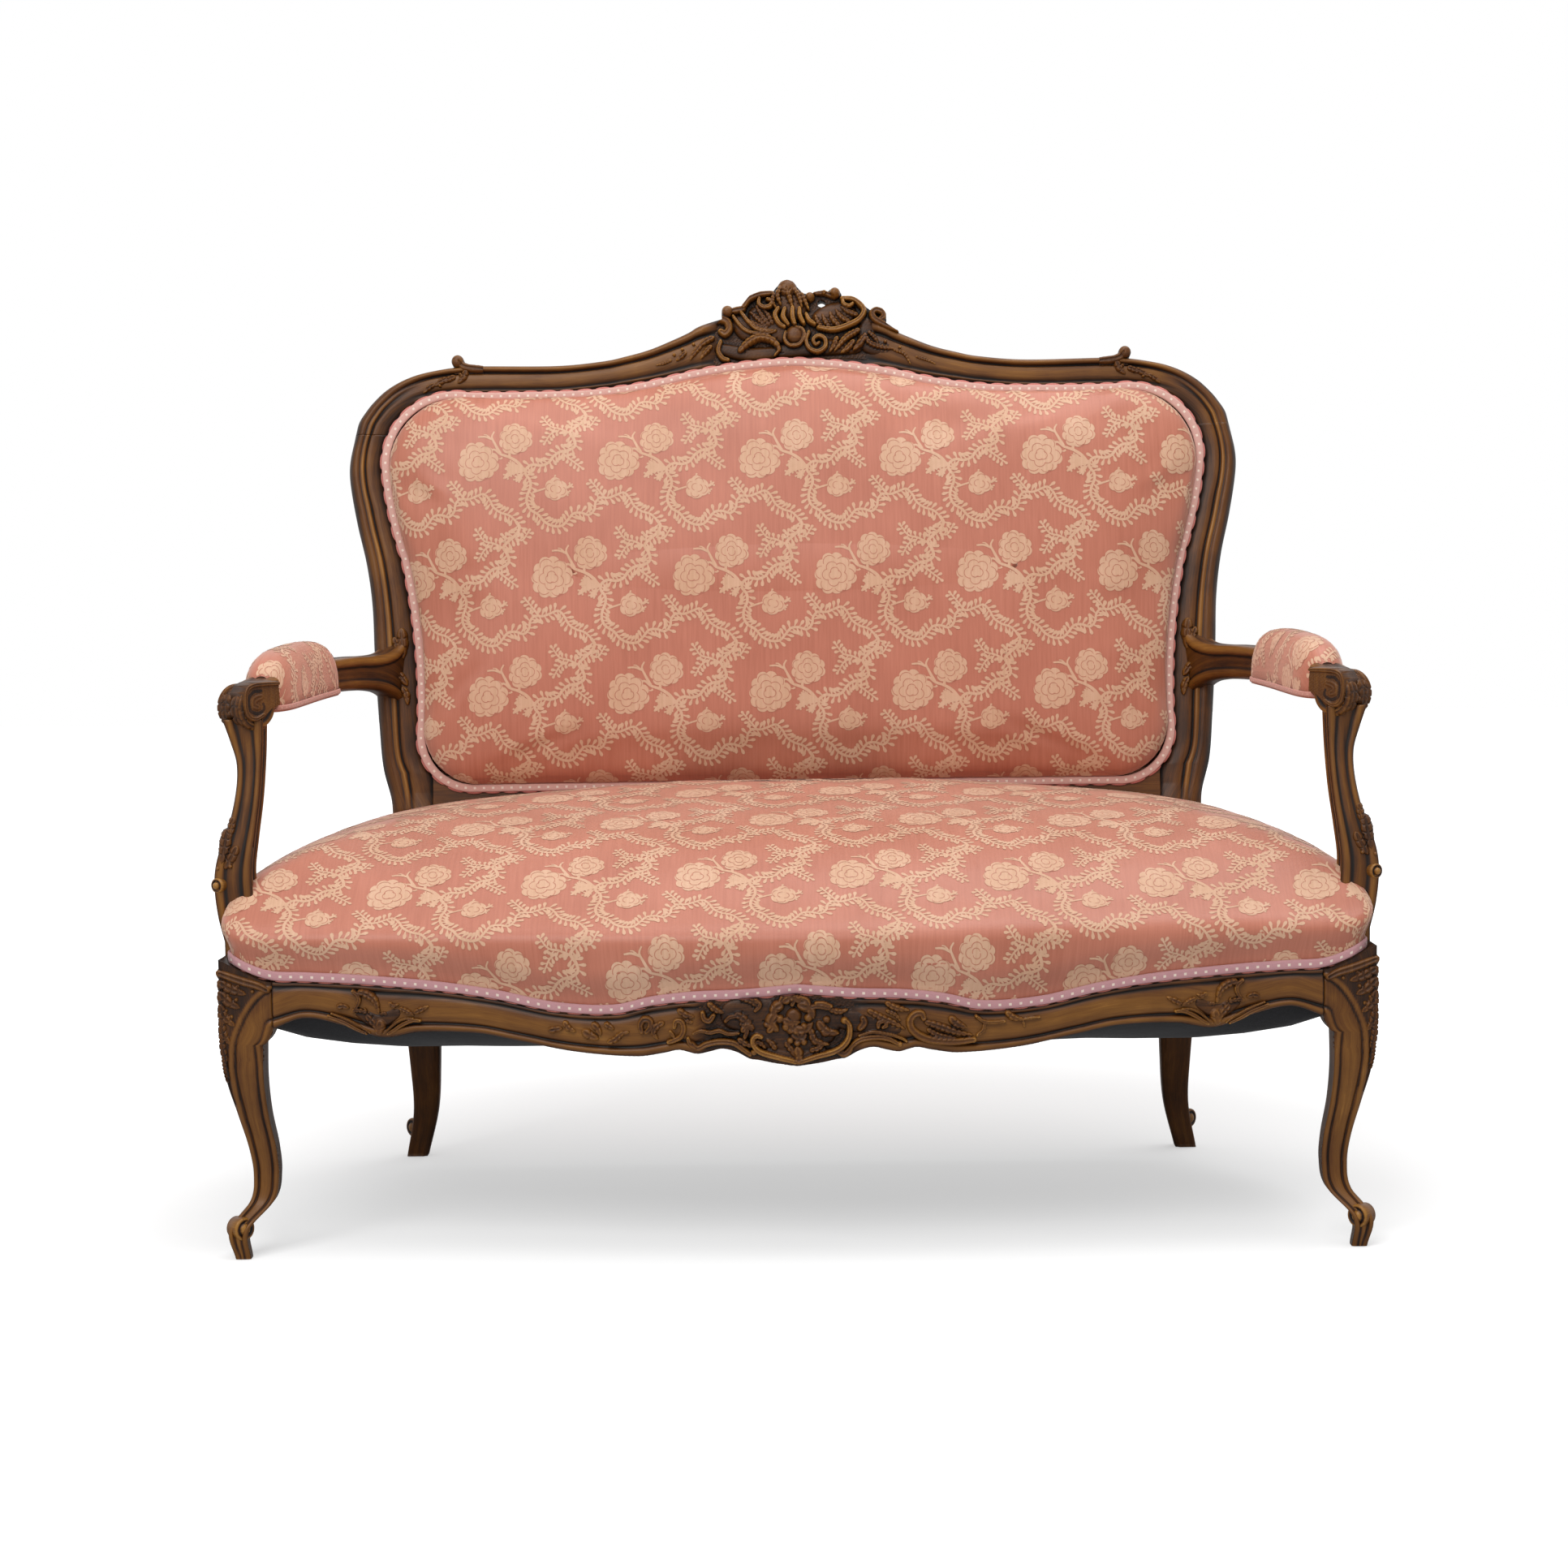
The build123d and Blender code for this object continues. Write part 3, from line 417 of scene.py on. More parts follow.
# Underside of the front rail, x and z
frontLowLine = [(0, 215), (25, 218.5), (44, 222.5), (52, 223.5), (66, 231), (82, 235), (96, 232),
                (110, 229.5), (120, 232), (130, 234), (145, 231), (175, 227), (242, 232), (306, 244),
                (350, 252), (415, 253), (456, 247), (498, 260), (540, 269), (575, 258)]


def frontLowZ(x):
    return along(frontLowLine, np.abs(x))


def sideLowZ(y):  # underside of a side rail
    a = plan["archHeight"]
    return along([(0, a - 6), (0.08, a + 4), (0.22, a - 2), (0.5, a - 14), (0.78, a - 4), (0.93, a + 3),
                  (1, a - 8)], (np.asarray(y, float) - legRearY) / sideLong)


def backY(z):
    return plan["backBaseY"] + (np.asarray(z, float) - plan["backBaseZ"]) * plan["backSlope"]


def onBack(x, z, h=0):  # a point on the back frame's front face, lifted off it by h
    return xyz(x, backY(z), z) + backNormal * np.asarray(h, float)[..., None]


# Mouldings across a bar: share of the width, height above the flat face, wear. The low wear in the grooves
# is painted shade.
stileProfile = [(0, -11, .12), (.04, -6.5, .22), (.1, -2.4, .34), (.17, -.2, .48), (.25, .6, .52),
                (.31, -.6, .46), (.34, -2.2, .2), (.37, -1.5, .66), (.43, -1.2, .86), (.475, -2.2, .55),
                (.495, -5, .05), (.515, -5, .05), (.54, -3.4, .38), (.58, -2.6, .52), (.68, -3, .46),
                (.8, -4, .42), (.88, -5.6, .34), (.95, -6.2, .28), (1, -8, .05)]
crestProfile = [(0, -6, .3), (.03, -3, .5), (.07, -.9, .66), (.12, 0, .76), (.17, -.6, .66),
                (.215, -2.6, .4), (.235, -4.6, .2), (.26, -6.2, .02), (.285, -6, .04), (.31, -4.2, .46),
                (.36, -3.6, .64), (.5, -3.4, .66), (.68, -3.8, .6), (.8, -4.4, .42), (.85, -6.4, .06),
                (.88, -6.2, .08), (.91, -4.8, .45), (.95, -4.8, .45), (1, -7, .05)]
plainProfile = [(f, -2.5 if f in (0, 1) else -.6 if f in (.03, .04, .95) else 0, .45)
                for f, h, w in stileProfile]
railProfile = [(0, -4.5, .3), (.03, -1.8, .5), (.07, -.3, .64), (.11, .2, .74), (.15, -.5, .6),
               (.18, -2.6, .25), (.2, -4.2, .03), (.225, -4, .06), (.25, -2.8, .42), (.3, -2, .62),
               (.42, -1.2, .72), (.6, -1, .7), (.75, -1.6, .6), (.83, -2.6, .42), (.875, -4.4, .05),
               (.9, -4.2, .06), (.93, -2.4, .4), (.97, -2.2, .42), (1, -4, .05)]


def solidBar(rings, wear):  # closed sections one after another
    rows, columns = rings.shape[:2]
    faces = gridFaces(rows, columns, ring=True) + [cap(0, columns), cap(rows - 1, columns)]
    u = np.concatenate([np.zeros((rows, 1)), np.cumsum(np.linalg.norm(np.diff(rings, axis=1), axis=2), 1)], 1)
    v = np.broadcast_to(run(rings.mean(1))[:, None], u.shape)
    return rings.reshape(-1, 3), faces, np.broadcast_to(wear, u.shape).ravel(), np.stack([u, v], -1) / 1000


def mouldedBar(outer, edge, inner, front, profile, back, most=90):
    # a bar with this moulding on its front, over at most this width from its outer to its inner line, and
    # with these (line, shift across, depth) corners round its back
    lines = {"outer": outer, "inner": inner}
    profile = np.broadcast_to(np.asarray(profile, float), (len(outer),) + np.shape(profile)[-2:])
    wide = np.linalg.norm(edge - outer, axis=1)[:, None]
    way = unit(edge - outer)[:, None]
    taken = np.minimum(wide, most)
    share, rise, wear = profile.transpose(2, 0, 1)
    place = np.where(share <= 0.5, share * taken, wide - (1 - share) * taken)
    face = outer[:, None] + way * place[..., None] + front[:, None] * rise[..., None]

    def column(value):
        return np.broadcast_to(np.asarray(value, float), len(outer))[:, None]
    corners = [lines[line] + way[:, 0] * column(shift) - front * column(depth) for line, shift, depth in back]
    wear = np.concatenate([wear, np.full((len(outer), len(back)), 0.33)], 1)
    return solidBar(np.concatenate([face, np.stack(corners, 1)], 1), wear)


def squareBack(thick, last):  # a back with eased corners
    return [("inner", 0, -last), ("inner", 0, thick - 3), ("inner", -3, thick), ("outer", 3, thick),
            ("outer", 0, thick - 3), ("outer", 0, thick * 0.5), ("outer", 0, thick * 0.36)]


# Back frame: rear legs with moulded stiles, and the crest rail. Lines of the stiles are (z, x).
edgeWide = [(462, 388), (468, 400), (475, 430), (487, 451), (508, 468), (533, 474), (583.5, 476),
            (633, 478), (684, 484), (732, 491), (763, 496.5), (800, 506), (830, 513), (853, 519.5),
            (885, 522.5), (914, 518), (938, 505)]
stileOuter = [(0, 504), (60, 493), (120, 494), (250, 503), (350, 506), (452, 508), (502, 520), (553, 525),
              (640, 531), (705, 534), (756, 541), (808, 553), (859, 562), (885, 562.5), (920, 555.5)]
stileInner = [(0, 478), (60, 463), (120, 458), (180, 456), (580, 456), (670, 460), (760, 474), (820, 490),
              (880, 500), (920, 494)]
legFront = [(0, 273), (60, 261), (120, 247), (180, 237), (260, 231), (350, 230.5), (400, 231.5), (450, 235)]
legThick = [(0, 26), (60, 30), (120, 35), (180, 36), (260, 36), (350, 34)]


def rearLegBar():
    top = plan["seamHeight"] - plan["jointGap"]
    z = np.concatenate([np.linspace(0, 440, 90), np.linspace(442, top, 330)])
    y = np.where(z < 450, along(legFront, z), backY(z))
    blend = np.clip((z - 440) / 30, 0, 1)[:, None]  # plain below the seat, moulded above it
    out, into = along(stileOuter, z), along(stileInner, z)
    edge = np.where(z < 455, into + 3, np.maximum(along(edgeWide, z), into + 3))
    front = unit((1 - blend) * np.array([0, -1.0, 0]) + blend * backNormal)
    profile = (1 - blend[..., None]) * np.array(plainProfile) + blend[..., None] * np.array(stileProfile)
    lines = [xyz(x, y, z) for x in (out, edge, into)]
    return mouldedBar(*lines, front, profile, squareBack(along(legThick, z), profile[:, -1, 1]))


crestOuter = [(555.5, 920), (551, 937), (542, 951), (533, 962), (518, 976), (500, 987), (480, 995),
              (459, 1000), (430, 1004.5), (400, 1006), (300, 1005), (240, 1010), (210, 1016), (180, 1024),
              (150, 1036), (130, 1045), (116, 1053), (84, 1064), (48, 1074), (0, 1080)]
crestEdge = [(515.5, 920), (511, 929), (505, 938), (496, 948), (483, 957), (472, 963), (460, 967),
             (447, 970), (420, 972), (393, 972), (300, 972), (240, 977), (212, 981), (180, 986), (152, 991),
             (132, 995), (118, 997), (86, 1002), (48, 1007), (0, 1010)]
crestInner = [(494, 920), (488, 930), (482, 938), (474, 944), (463, 948), (454, 950), (445, 951),
              (435, 951), (420, 951), (393, 950), (300, 950), (240, 955), (212, 959), (180, 964),
              (152, 969), (132, 973), (118, 975), (86, 980), (48, 985), (0, 988)]


def crestBar():
    t = np.linspace(0, 1, 420)
    lines = [alongTable(np.linspace(0, 1, len(line)), line, t)
             for line in (crestOuter, crestEdge, crestInner)]
    even = np.interp(t, run(lines[0]) / run(lines[0])[-1], t)
    lines = [np.stack([np.interp(even, t, column) for column in line.T], 1) for line in lines]
    x = lines[0][:, 0]
    blend = np.clip((560 - x) / 110, 0, 1)
    blend = (blend ** 2 * (3 - 2 * blend))[:, None, None]
    profile = (1 - blend) * np.array(stileProfile) + blend * np.array(crestProfile)
    sunk = np.clip((112 - x) / 22, 0, 1)[:, None]  # set back behind the carving
    profile[..., 1] += sunk * (-10 - profile[..., 1])
    # painted shade: the face set back behind the carving is darker
    profile[..., 2] *= 1 - 0.6 * sunk
    lines = [bothHalves(onBack(line[:, 0], line[:, 1])) for line in lines]
    profile = np.concatenate([profile, profile[-2::-1]])
    return mouldedBar(*lines, np.tile(backNormal, (len(profile), 1)), profile,
                      squareBack(plan["backThick"], profile[:, -1, 1]))


addPair("rearLegDressed", rearLegBar(), "rear_leg")
addPiece("crestRailDressed", crestBar(), polishedWalnut, ["crest_rail"])
print("back frame made")


# Seat rails: moulded below the upholstery, stepped back behind it, with room for the webbing below
def railBack(low, edge, thick):
    step, rise, lip = plan["rebate"], plan["railTop"] - edge, thick - 14
    under = plan["webHeight"] - low
    return [("inner", 0, step), ("inner", rise, step), ("inner", rise, thick), ("outer", under, thick),
            ("outer", under, lip), ("outer", 0, lip), ("outer", 0, 7)]


def frontRailBar():
    half = plan["jointHalf"] - plan["jointGap"]
    x = np.linspace(-half, half, 760)
    y, low, edge = frontY(x), frontLowZ(x), gimpZ(x)
    front = unit(xyz(np.gradient(y, x), -1, 0))
    profile = np.tile(railProfile, (len(x), 1, 1))
    sunk = (np.clip((x + 112) / 14, 0, 1) * np.clip((70 - x) / 14, 0, 1))[:, None]  # behind the carving
    profile[..., 1] += sunk * (-5.4 - profile[..., 1])
    # painted shade: the face set back behind the carving is darker
    profile[..., 2] *= 1 - 0.5 * sunk
    profile[..., 2] *= np.clip((plan["jointHalf"] - np.abs(x)) / 1.3, 0.3, 1)[:, None]
    lines = [xyz(x, y, z) for z in (low, edge, edge)]
    return mouldedBar(*lines, front, profile, railBack(low, edge, plan["railThick"]), most=60)


def sideRailBar():
    y = np.linspace(legRearY + plan["jointGap"], plan["stileY"] - plan["jointGap"], 300)
    x = sideX(y)
    low, edge = sideLowZ(y), gimpZ(x)
    front = unit(xyz(1, -np.gradient(x, y), 0))
    lines = [xyz(x, y, z) for z in (low, edge, edge)]
    return mouldedBar(*lines, front, railProfile, railBack(low, edge, plan["sideThick"]), most=60)


addPiece("frontRailDressed", frontRailBar(), polishedWalnut, ["front_rail"])
addPair("sideRailDressed", sideRailBar(), "side_rail")
print("seat rails made")

# Front legs: square cabriole legs with a bead down each corner and a hollow between
legLook = {"height": 240, "foot": 616, "bead": 3.2, "groove": 1.8, "beadHigh": 1.6, "hollow": 2.2}
legBow = [(0, 0), (33.6, -3), (62.4, 20), (90, 24.5), (120, 22), (160.8, 14), (199.2, 8), (240, 6)]
legWide = [(0, 17), (21.6, 20), (57.6, 26), (90, 28), (120, 30), (160.8, 34), (199.2, 41), (240, 46)]
# how far the outer bead stands in from the corner at each height
beadLine = [(0, 2), (110, 2), (137, 3), (169, 5), (192, 7), (215, 8.5), (244, 13), (265, 21), (281, 30),
            (294, 41), (303, 54), (306, 62)]


def legFaces(z):  # outer and inner x, front and back y
    knee = legLook["height"]
    bow, half = along(legBow, np.minimum(z, knee)), along(legWide, np.minimum(z, knee)) / 2
    out = legLook["foot"] - bow + half
    into = np.where(z < knee, legLook["foot"] - bow - half, 587 - 12 * np.clip((z - knee) / 18, 0, 1) ** 0.5)
    near = plan["footFrontY"] + bow - half - 4 * np.clip((z - knee) / 108, 0, 1)
    far = np.where(z < knee, plan["footFrontY"] + bow + half,
                   -256 + 6 * np.clip((z - knee) / 16, 0, 1) ** 0.5)
    return out, into, near, far


def legRelief(u, z, wide):
    # height and wear on a leg's face: u in from the outer corner, with the bead that turns in at the knee.
    # Wear is lower, with painted shade, in the groove beside each bead.
    line = along(beadLine, z)
    slope = along(beadLine, z + 1) - line
    fromOuter = (u - line) / np.sqrt(1 + slope ** 2)
    fromInner = np.hypot(wide - u, np.maximum(z - 258, 0)) - 2.6 - 3.4 * np.clip((z - 215) / 40, 0, 1)
    bead, groove = legLook["bead"], legLook["groove"]
    inwards = np.clip(np.minimum(fromOuter, fromInner) / np.maximum(wide * 0.42, 6), 0, 1)
    height = np.where(fromOuter > 0, -legLook["hollow"] * (0.5 + 0.5 * (1 - inwards) ** 2), -1.2)
    wear = np.where(fromOuter > 0, 0.48 + 0.26 * inwards, 0.3)
    for gap in (fromOuter, fromInner):
        r = np.abs(gap) / bead
        swell = np.sqrt(np.clip(1 - r * r, 0, 1))
        height = np.where(r < 1, np.maximum(height, legLook["beadHigh"] * swell - 1.2), height)
        wear = np.where(r < 1, 0.34 + 0.36 * swell, wear)
        r = np.abs(gap - bead - groove * 0.6) / groove
        height = np.where(r < 1, height - 1.5 * (1 - r * r), height)
        # painted shade: darker down the groove
        wear = np.where(r < 1, wear * (0.25 + 0.75 * r), wear)
    return height, wear


def frontLegBar():
    z = np.concatenate([np.linspace(0, 300, 230), np.linspace(301, plan["railTop"] - 13, 34)])[:, None]
    out, into, near, far = legFaces(z)
    share = np.linspace(0, 1, 34)
    calm = np.clip(z / 30, 0, 1)

    def face(wide):  # distance in from the outer corner, relief with eased corners, and wear
        u = share * wide
        height, wear = legRelief(u, z, wide)
        ease = 2.2 * (np.exp(-u / 1.6) + np.exp(-(wide - u) / 1.6))
        return u, height * calm - ease, wear
    (ux, hx, wx), (uy, hy, wy) = face(out - into), face(far - near)
    front, side = xyz(out - ux, near - hx, z)[:, ::-1], xyz(out + hy, near + uy, z)
    rest = [xyz(out * (1 - s) + into * s, far, z) for s in (.12, .4, .7, .95)]
    rest += [xyz(into, far * (1 - s) + near * s, z) for s in (.1, .4, .7, .92)]
    rings = np.concatenate([front, side[:, 1:], *rest], 1)
    rings[..., 2] = np.minimum(rings[..., 2], gimpZ(rings[..., 0]) - 0.5)
    return solidBar(rings, np.concatenate([wx[:, ::-1], wy[:, 1:], np.full((len(z), 8), .35)], 1))


addPair("frontLegDressed", frontLegBar(), "front_leg")


def turned(start, end, profile, sides=40, radius=1.0, dark=1.0):
    # a lathe shape of (share of the length, radius, wear), its radius and wear scaled by these. Its low wear
    # in the grooves is painted shade.
    way = unit(end - start)
    up = unit(np.cross(way, (0.3, 0.2, 1.0)))
    angle = np.linspace(0, 2 * pi, sides, endpoint=False)
    ring = np.cos(angle)[:, None] * up + np.sin(angle)[:, None] * np.cross(way, up)
    share, wide, wear = np.array(profile, float).T
    points = np.concatenate([start + (end - start) * s + ring * r for s, r in zip(share, wide * radius)])
    rows = len(share)
    faces = gridFaces(rows, sides, ring=True) + [cap(0, sides), cap(rows - 1, sides)]
    uv = np.stack([np.tile(angle * 10, rows), np.repeat(share * 20, sides)], 1) / 1000
    return points, faces, np.repeat(wear * dark, sides), uv


def turnedAbout(middle, way, back, ahead, *profile):  # from so far back to so far ahead along the way
    return turned(middle - way * back, middle + way * ahead, *profile)


# Feet: a small rolled scroll on each
level45 = np.array([1, -1, 0]) / 2 ** 0.5  # from the middle of the seat to its right-hand front corner
diagonal = np.array([-1, -1, 0]) / 2 ** 0.5
# the low wear in the button's grooves is painted shade
button = [(0, 2, .3), (.02, 10.6, .4), (.1, 12.6, .6), (.8, 13, .7), (.9, 12.6, .9), (.94, 11.2, .95),
          (.96, 9.6, .3), (.9, 8.8, .02), (.9, 6.9, .05), (.95, 6.4, .6), (1.02, 5.2, .95), (1.08, 2.6, 1),
          (1.09, .3, 1)]
addPair("footScroll", turnedAbout(np.array([619, -288, 34.0]), diagonal, 10.5, 10.5, button))
addPair("rearFootScroll", turnedAbout(np.array([493, 287, 36.0]), level45, 8.5, 8.5, button, 40, 12 / 13, .8))
print("legs made")

# Arms: a moulded bar that swells into the stile, over a rolled knuckle and a curved post. Each line of
# the bar is (y, value), and its section is (distance across, 0 at its foot or 1 at its top, height, wear),
# with painted shade as low wear in its grooves.
armPath = {"x": [(-202, 613.5), (-132, 606), (-50, 598), (50, 588), (120, 576), (180, 561), (230, 538),
                 (262, 517), (290, 502)],
           "top": [(-202, 628), (-152, 634), (-50, 640), (60, 643), (200, 643), (246, 643), (270, 650),
                   (290, 668)],
           "low": [(-202, 593), (-142, 596), (0, 600), (150, 602), (232, 599), (262, 590), (290, 566)]}
armSection = [(-8, 0, 0, .3), (-14, 0, 1.2, .4), (-18, 0, 5, .56), (-19, 0, 9, .62), (-18.4, 0, 12, .45),
              (-16, 0, 14, .05), (-16.2, 0, 17, .4), (-16.2, 1, -15, .42), (-16, 1, -12.6, .05),
              (-18.4, 1, -10.6, .5), (-19, 1, -7.5, .68), (-17.6, 1, -3.6, .72), (-14, 1, -.6, .6),
              (-10, 1, .2, .45), (-7, 1, -1, .25), (0, 1, -.6, .4)]
armSection += [(-s, f, d, w) for s, f, d, w in armSection[-2:0:-1]] + [(8, 0, 0, .3)]


def armBar():
    y = np.linspace(-202, 287, 150)
    x, top, low = (along(armPath[k], y)[:, None] for k in ("x", "top", "low"))
    way = unit(xyz(np.gradient(x[:, 0], y), 1, 0))
    across, share, rise, wear = np.array(armSection).T
    z = low * (1 - share) + top * share + rise
    return solidBar(xyz(x + way[:, 1:2] * across, y[:, None] - way[:, :1] * across, z), wear)


addPair("armDressed", armBar(), "arm")
knuckle = {"middle": np.array([609.5, -204, 606.0]), "in": 22, "out": 20, "radius": 0.85, "roll": 23.2}
# the low wear in the knuckle's grooves is painted shade
knuckleProfile = [(0, 4, .2), (.005, 12, .3), (.02, 22, .5), (.05, 26.5, .8), (.1, 27.6, .6), (.16, 26, .1),
                  (.2, 26.4, .4), (.5, 27.4, .5), (.8, 27, .5), (.85, 25.6, .1), (.89, 26.8, .6),
                  (.94, 27.8, .95), (.98, 26, 1), (.995, 23, .8), (.97, 20.6, .15), (.96, 19, .1),
                  (.985, 16.5, .6), (.99, 9, .6), (.975, 7.6, .1), (.99, 6, .7), (1.02, 3, .9),
                  (1.03, .3, .9)]
addPair("knuckle", turnedAbout(knuckle["middle"], diagonal, knuckle["in"], knuckle["out"], knuckleProfile, 64,
                               knuckle["radius"], 0.8))

# Arm posts: how far each line stands from its own base over the height, and the face's moulding, with
# painted shade as low wear in its grooves
post = {"foot": 322, "top": 593, "outX": 630, "inX": 633, "frontY": -255, "thick": 38}
postOuter = [(0, 4), (.12, 11), (.27, 14.5), (.38, 11), (.52, -1), (.68, -9), (.8, -9.5), (.9, -2.5),
             (1, 6)]
postInner = [(0, -36), (.3, -30), (.45, -33), (.63, -38), (.8, -40.5), (1, -42)]
postLean = [(0, 0), (.3, 4), (.6, 18), (.85, 30), (1, 33)]
postFace = [(0, -3, .2), (.05, -1, .5), (.12, .2, .72), (.2, -.3, .68), (.26, -2.4, .2), (.3, -3, .05),
            (.36, -2.2, .42), (.5, -1.4, .56), (.64, -2.2, .42), (.7, -3, .05), (.74, -2.4, .2),
            (.8, -.3, .68), (.88, .2, .72), (.95, -1, .5), (1, -3, .2)]


def postShare(z):
    return (z - plan["railTop"]) / (post["top"] - plan["railTop"])


def postBar():
    z = np.linspace(post["foot"], post["top"], 120)[:, None]
    t = np.maximum(postShare(z), 0)
    out, into = post["outX"] + along(postOuter, t), post["inX"] + along(postInner, t)
    near = post["frontY"] + along(postLean, t)
    far = near + post["thick"]
    share, rise, wear = np.array(postFace).T
    front = xyz(into * (1 - share) + out * share, near - rise, z)
    side = xyz(out + rise, near * (1 - share) + far * share, z)
    back = [xyz(out * (1 - s) + into * s, far - 1.5, z) for s in (.15, .5, .85)]
    inner = xyz(into - rise, far * (1 - share) + near * share, z)
    rings = np.concatenate([front, side[:, 1:-1], *back, inner[:, 1:-1]], 1)
    return solidBar(rings, np.concatenate([wear, wear[1:-1], [.4, .4, .4], wear[1:-1]]))


addPair("armPostDressed", postBar(), "arm_post")
print("arms and posts made")

# Carving. Each relief is cut on a fine grid from strokes (form, width, height, tone, path): "bar" keeps its
# width and has a hollow along it, "leaf" narrows to both ends and has lobes and a vein, "ball" is a dome,
# "cut" is a line that is only darker, painted shade where a groove would be, with no depth of its own.
carveLook = {
    "lift": 0.4,  # mm added to every height
    "fine": 16,  # mm, strokes up to this width are drawn bolder
    "deepest": 6,  # mm, veins and hollows grow with the stroke's height up to this
    "gouge": 0.5,  # mm, tool marks
    "wear": 0.34,
    # crest wear: lighter on what stands out, and painted shade, darker, on what lies below its surroundings
    "crestWearHollowShade": 0.13,  # more wear on what stands out from its surroundings
}


def stamp(field, spots, cell, at, radius, rise, floor):  # a dome, where it is higher than what is there
    reach = int(radius / cell) + 1
    i, j = (int(round((at[k] - spots[k][0, 0]) / cell)) for k in (0, 1))
    if i + reach < 0 or j + reach < 0:
        return
    part = slice(max(i - reach, 0), i + reach + 1), slice(max(j - reach, 0), j + reach + 1)
    away = ((spots[0][part] - at[0]) ** 2 + (spots[1][part] - at[1]) ** 2) / radius ** 2
    swell = floor + (rise - floor) * np.sqrt(np.clip(1 - away ** 1.6, 0, 1))
    field[part] = np.where(away < 1, np.maximum(field[part], swell), field[part])


def softened(field, times):
    for _ in range(times):
        wide = np.pad(field, 1, mode="edge")
        field = (wide[:-2, 1:-1] + wide[2:, 1:-1] + wide[1:-1, :-2] + wide[1:-1, 2:]
                 + wide[1:-1, 1:-1] * 2) / 6
    return field


def inside(polygon, x, z):
    result = np.zeros(x.shape, bool)
    for (x0, z0), (x1, z1) in zip(polygon, np.roll(polygon, -1, 0)):
        crosses = (z0 > z) != (z1 > z)
        with np.errstate(divide="ignore", invalid="ignore"):
            result ^= crosses & (x < (x1 - x0) * (z - z0) / (z1 - z0) + x0)
    return result


def snapped(polygon, x, z):  # the nearest point on the polygon's edge
    a, b = polygon, np.roll(polygon, -1, 0)
    spot = np.stack([x, z], 1)[:, None]
    t = np.clip(((spot - a) * (b - a)).sum(2) / ((b - a) ** 2).sum(1), 0, 1)
    near = a + (b - a) * t[..., None]
    best = ((near - spot) ** 2).sum(2).argmin(1)
    return near[np.arange(len(x)), best]


def strokeLine(form, wide, path, cell):  # points along it, the share of its width at each, and its lobes
    if form == "ball":
        return np.array(path, float), np.ones(len(path)), 0
    length = run(np.array(path, float))[-1]
    count = max(5, int(length / (0.6 * cell)))
    share = np.linspace(0, 1, count)
    if form != "leaf":
        return smoothPath(path, count), 0.72 + 0.28 * np.sin(pi * share) ** 0.6, 0
    lobes = max(2, int(length / wide * 1.9))
    size = np.sin(pi * (0.1 + 0.84 * share) ** 0.75) ** 0.7
    return smoothPath(path, count), size * (0.72 + 0.28 * np.abs(np.sin(pi * lobes * share)) ** 0.6), lobes


def drawStroke(stroke, height, grooves, spots, cell, ground, bold):  # gives back where the stroke lies
    form, wide, high = stroke[:3]
    wide = wide * (1 if form in ("ball", "cut") or wide > carveLook["fine"] else bold)
    high = high + carveLook["lift"]
    deep = min(high - ground, carveLook["deepest"])
    line, size, lobes = strokeLine(form, wide, stroke[-1], cell)
    reach = np.zeros_like(height)
    for at, s in zip(line, size):
        if form != "cut":
            crown = ground + (high - ground) * (0.75 + 0.25 * s)
            stamp(height, spots, cell, at, wide / 2 * s, crown, ground)
        stamp(reach, spots, cell, at, wide / 2 * s + 0.4, 1, 0.5)
    if form == "bar" and 3 < wide < 14:  # a hollow along the scroll
        for at, s in zip(line[2:-2], size[2:-2]):
            stamp(grooves, spots, cell, at, 0.17 * wide * s, 0.26 * deep, 0)
    if form == "leaf":  # a vein down the middle and nicks between the lobes
        way = unit(np.gradient(line, axis=0))
        side = leftOf(way)
        for at, s in zip(line[1:-1], size[1:-1]):
            stamp(grooves, spots, cell, at, max(0.13 * wide, 0.9), 0.3 * deep * s, 0)
        for k in range(1, lobes):
            m = int(k / lobes * (len(line) - 1))
            for hand in (-1, 1):
                for f in np.linspace(0.3, 1, 5):
                    at = line[m] + (side[m] * hand - way[m] * 0.5 * f) * wide / 2 * f
                    stamp(grooves, spots, cell, at, max(0.07 * wide, 0.8), 0.25 * deep, 0)
    return reach > 0


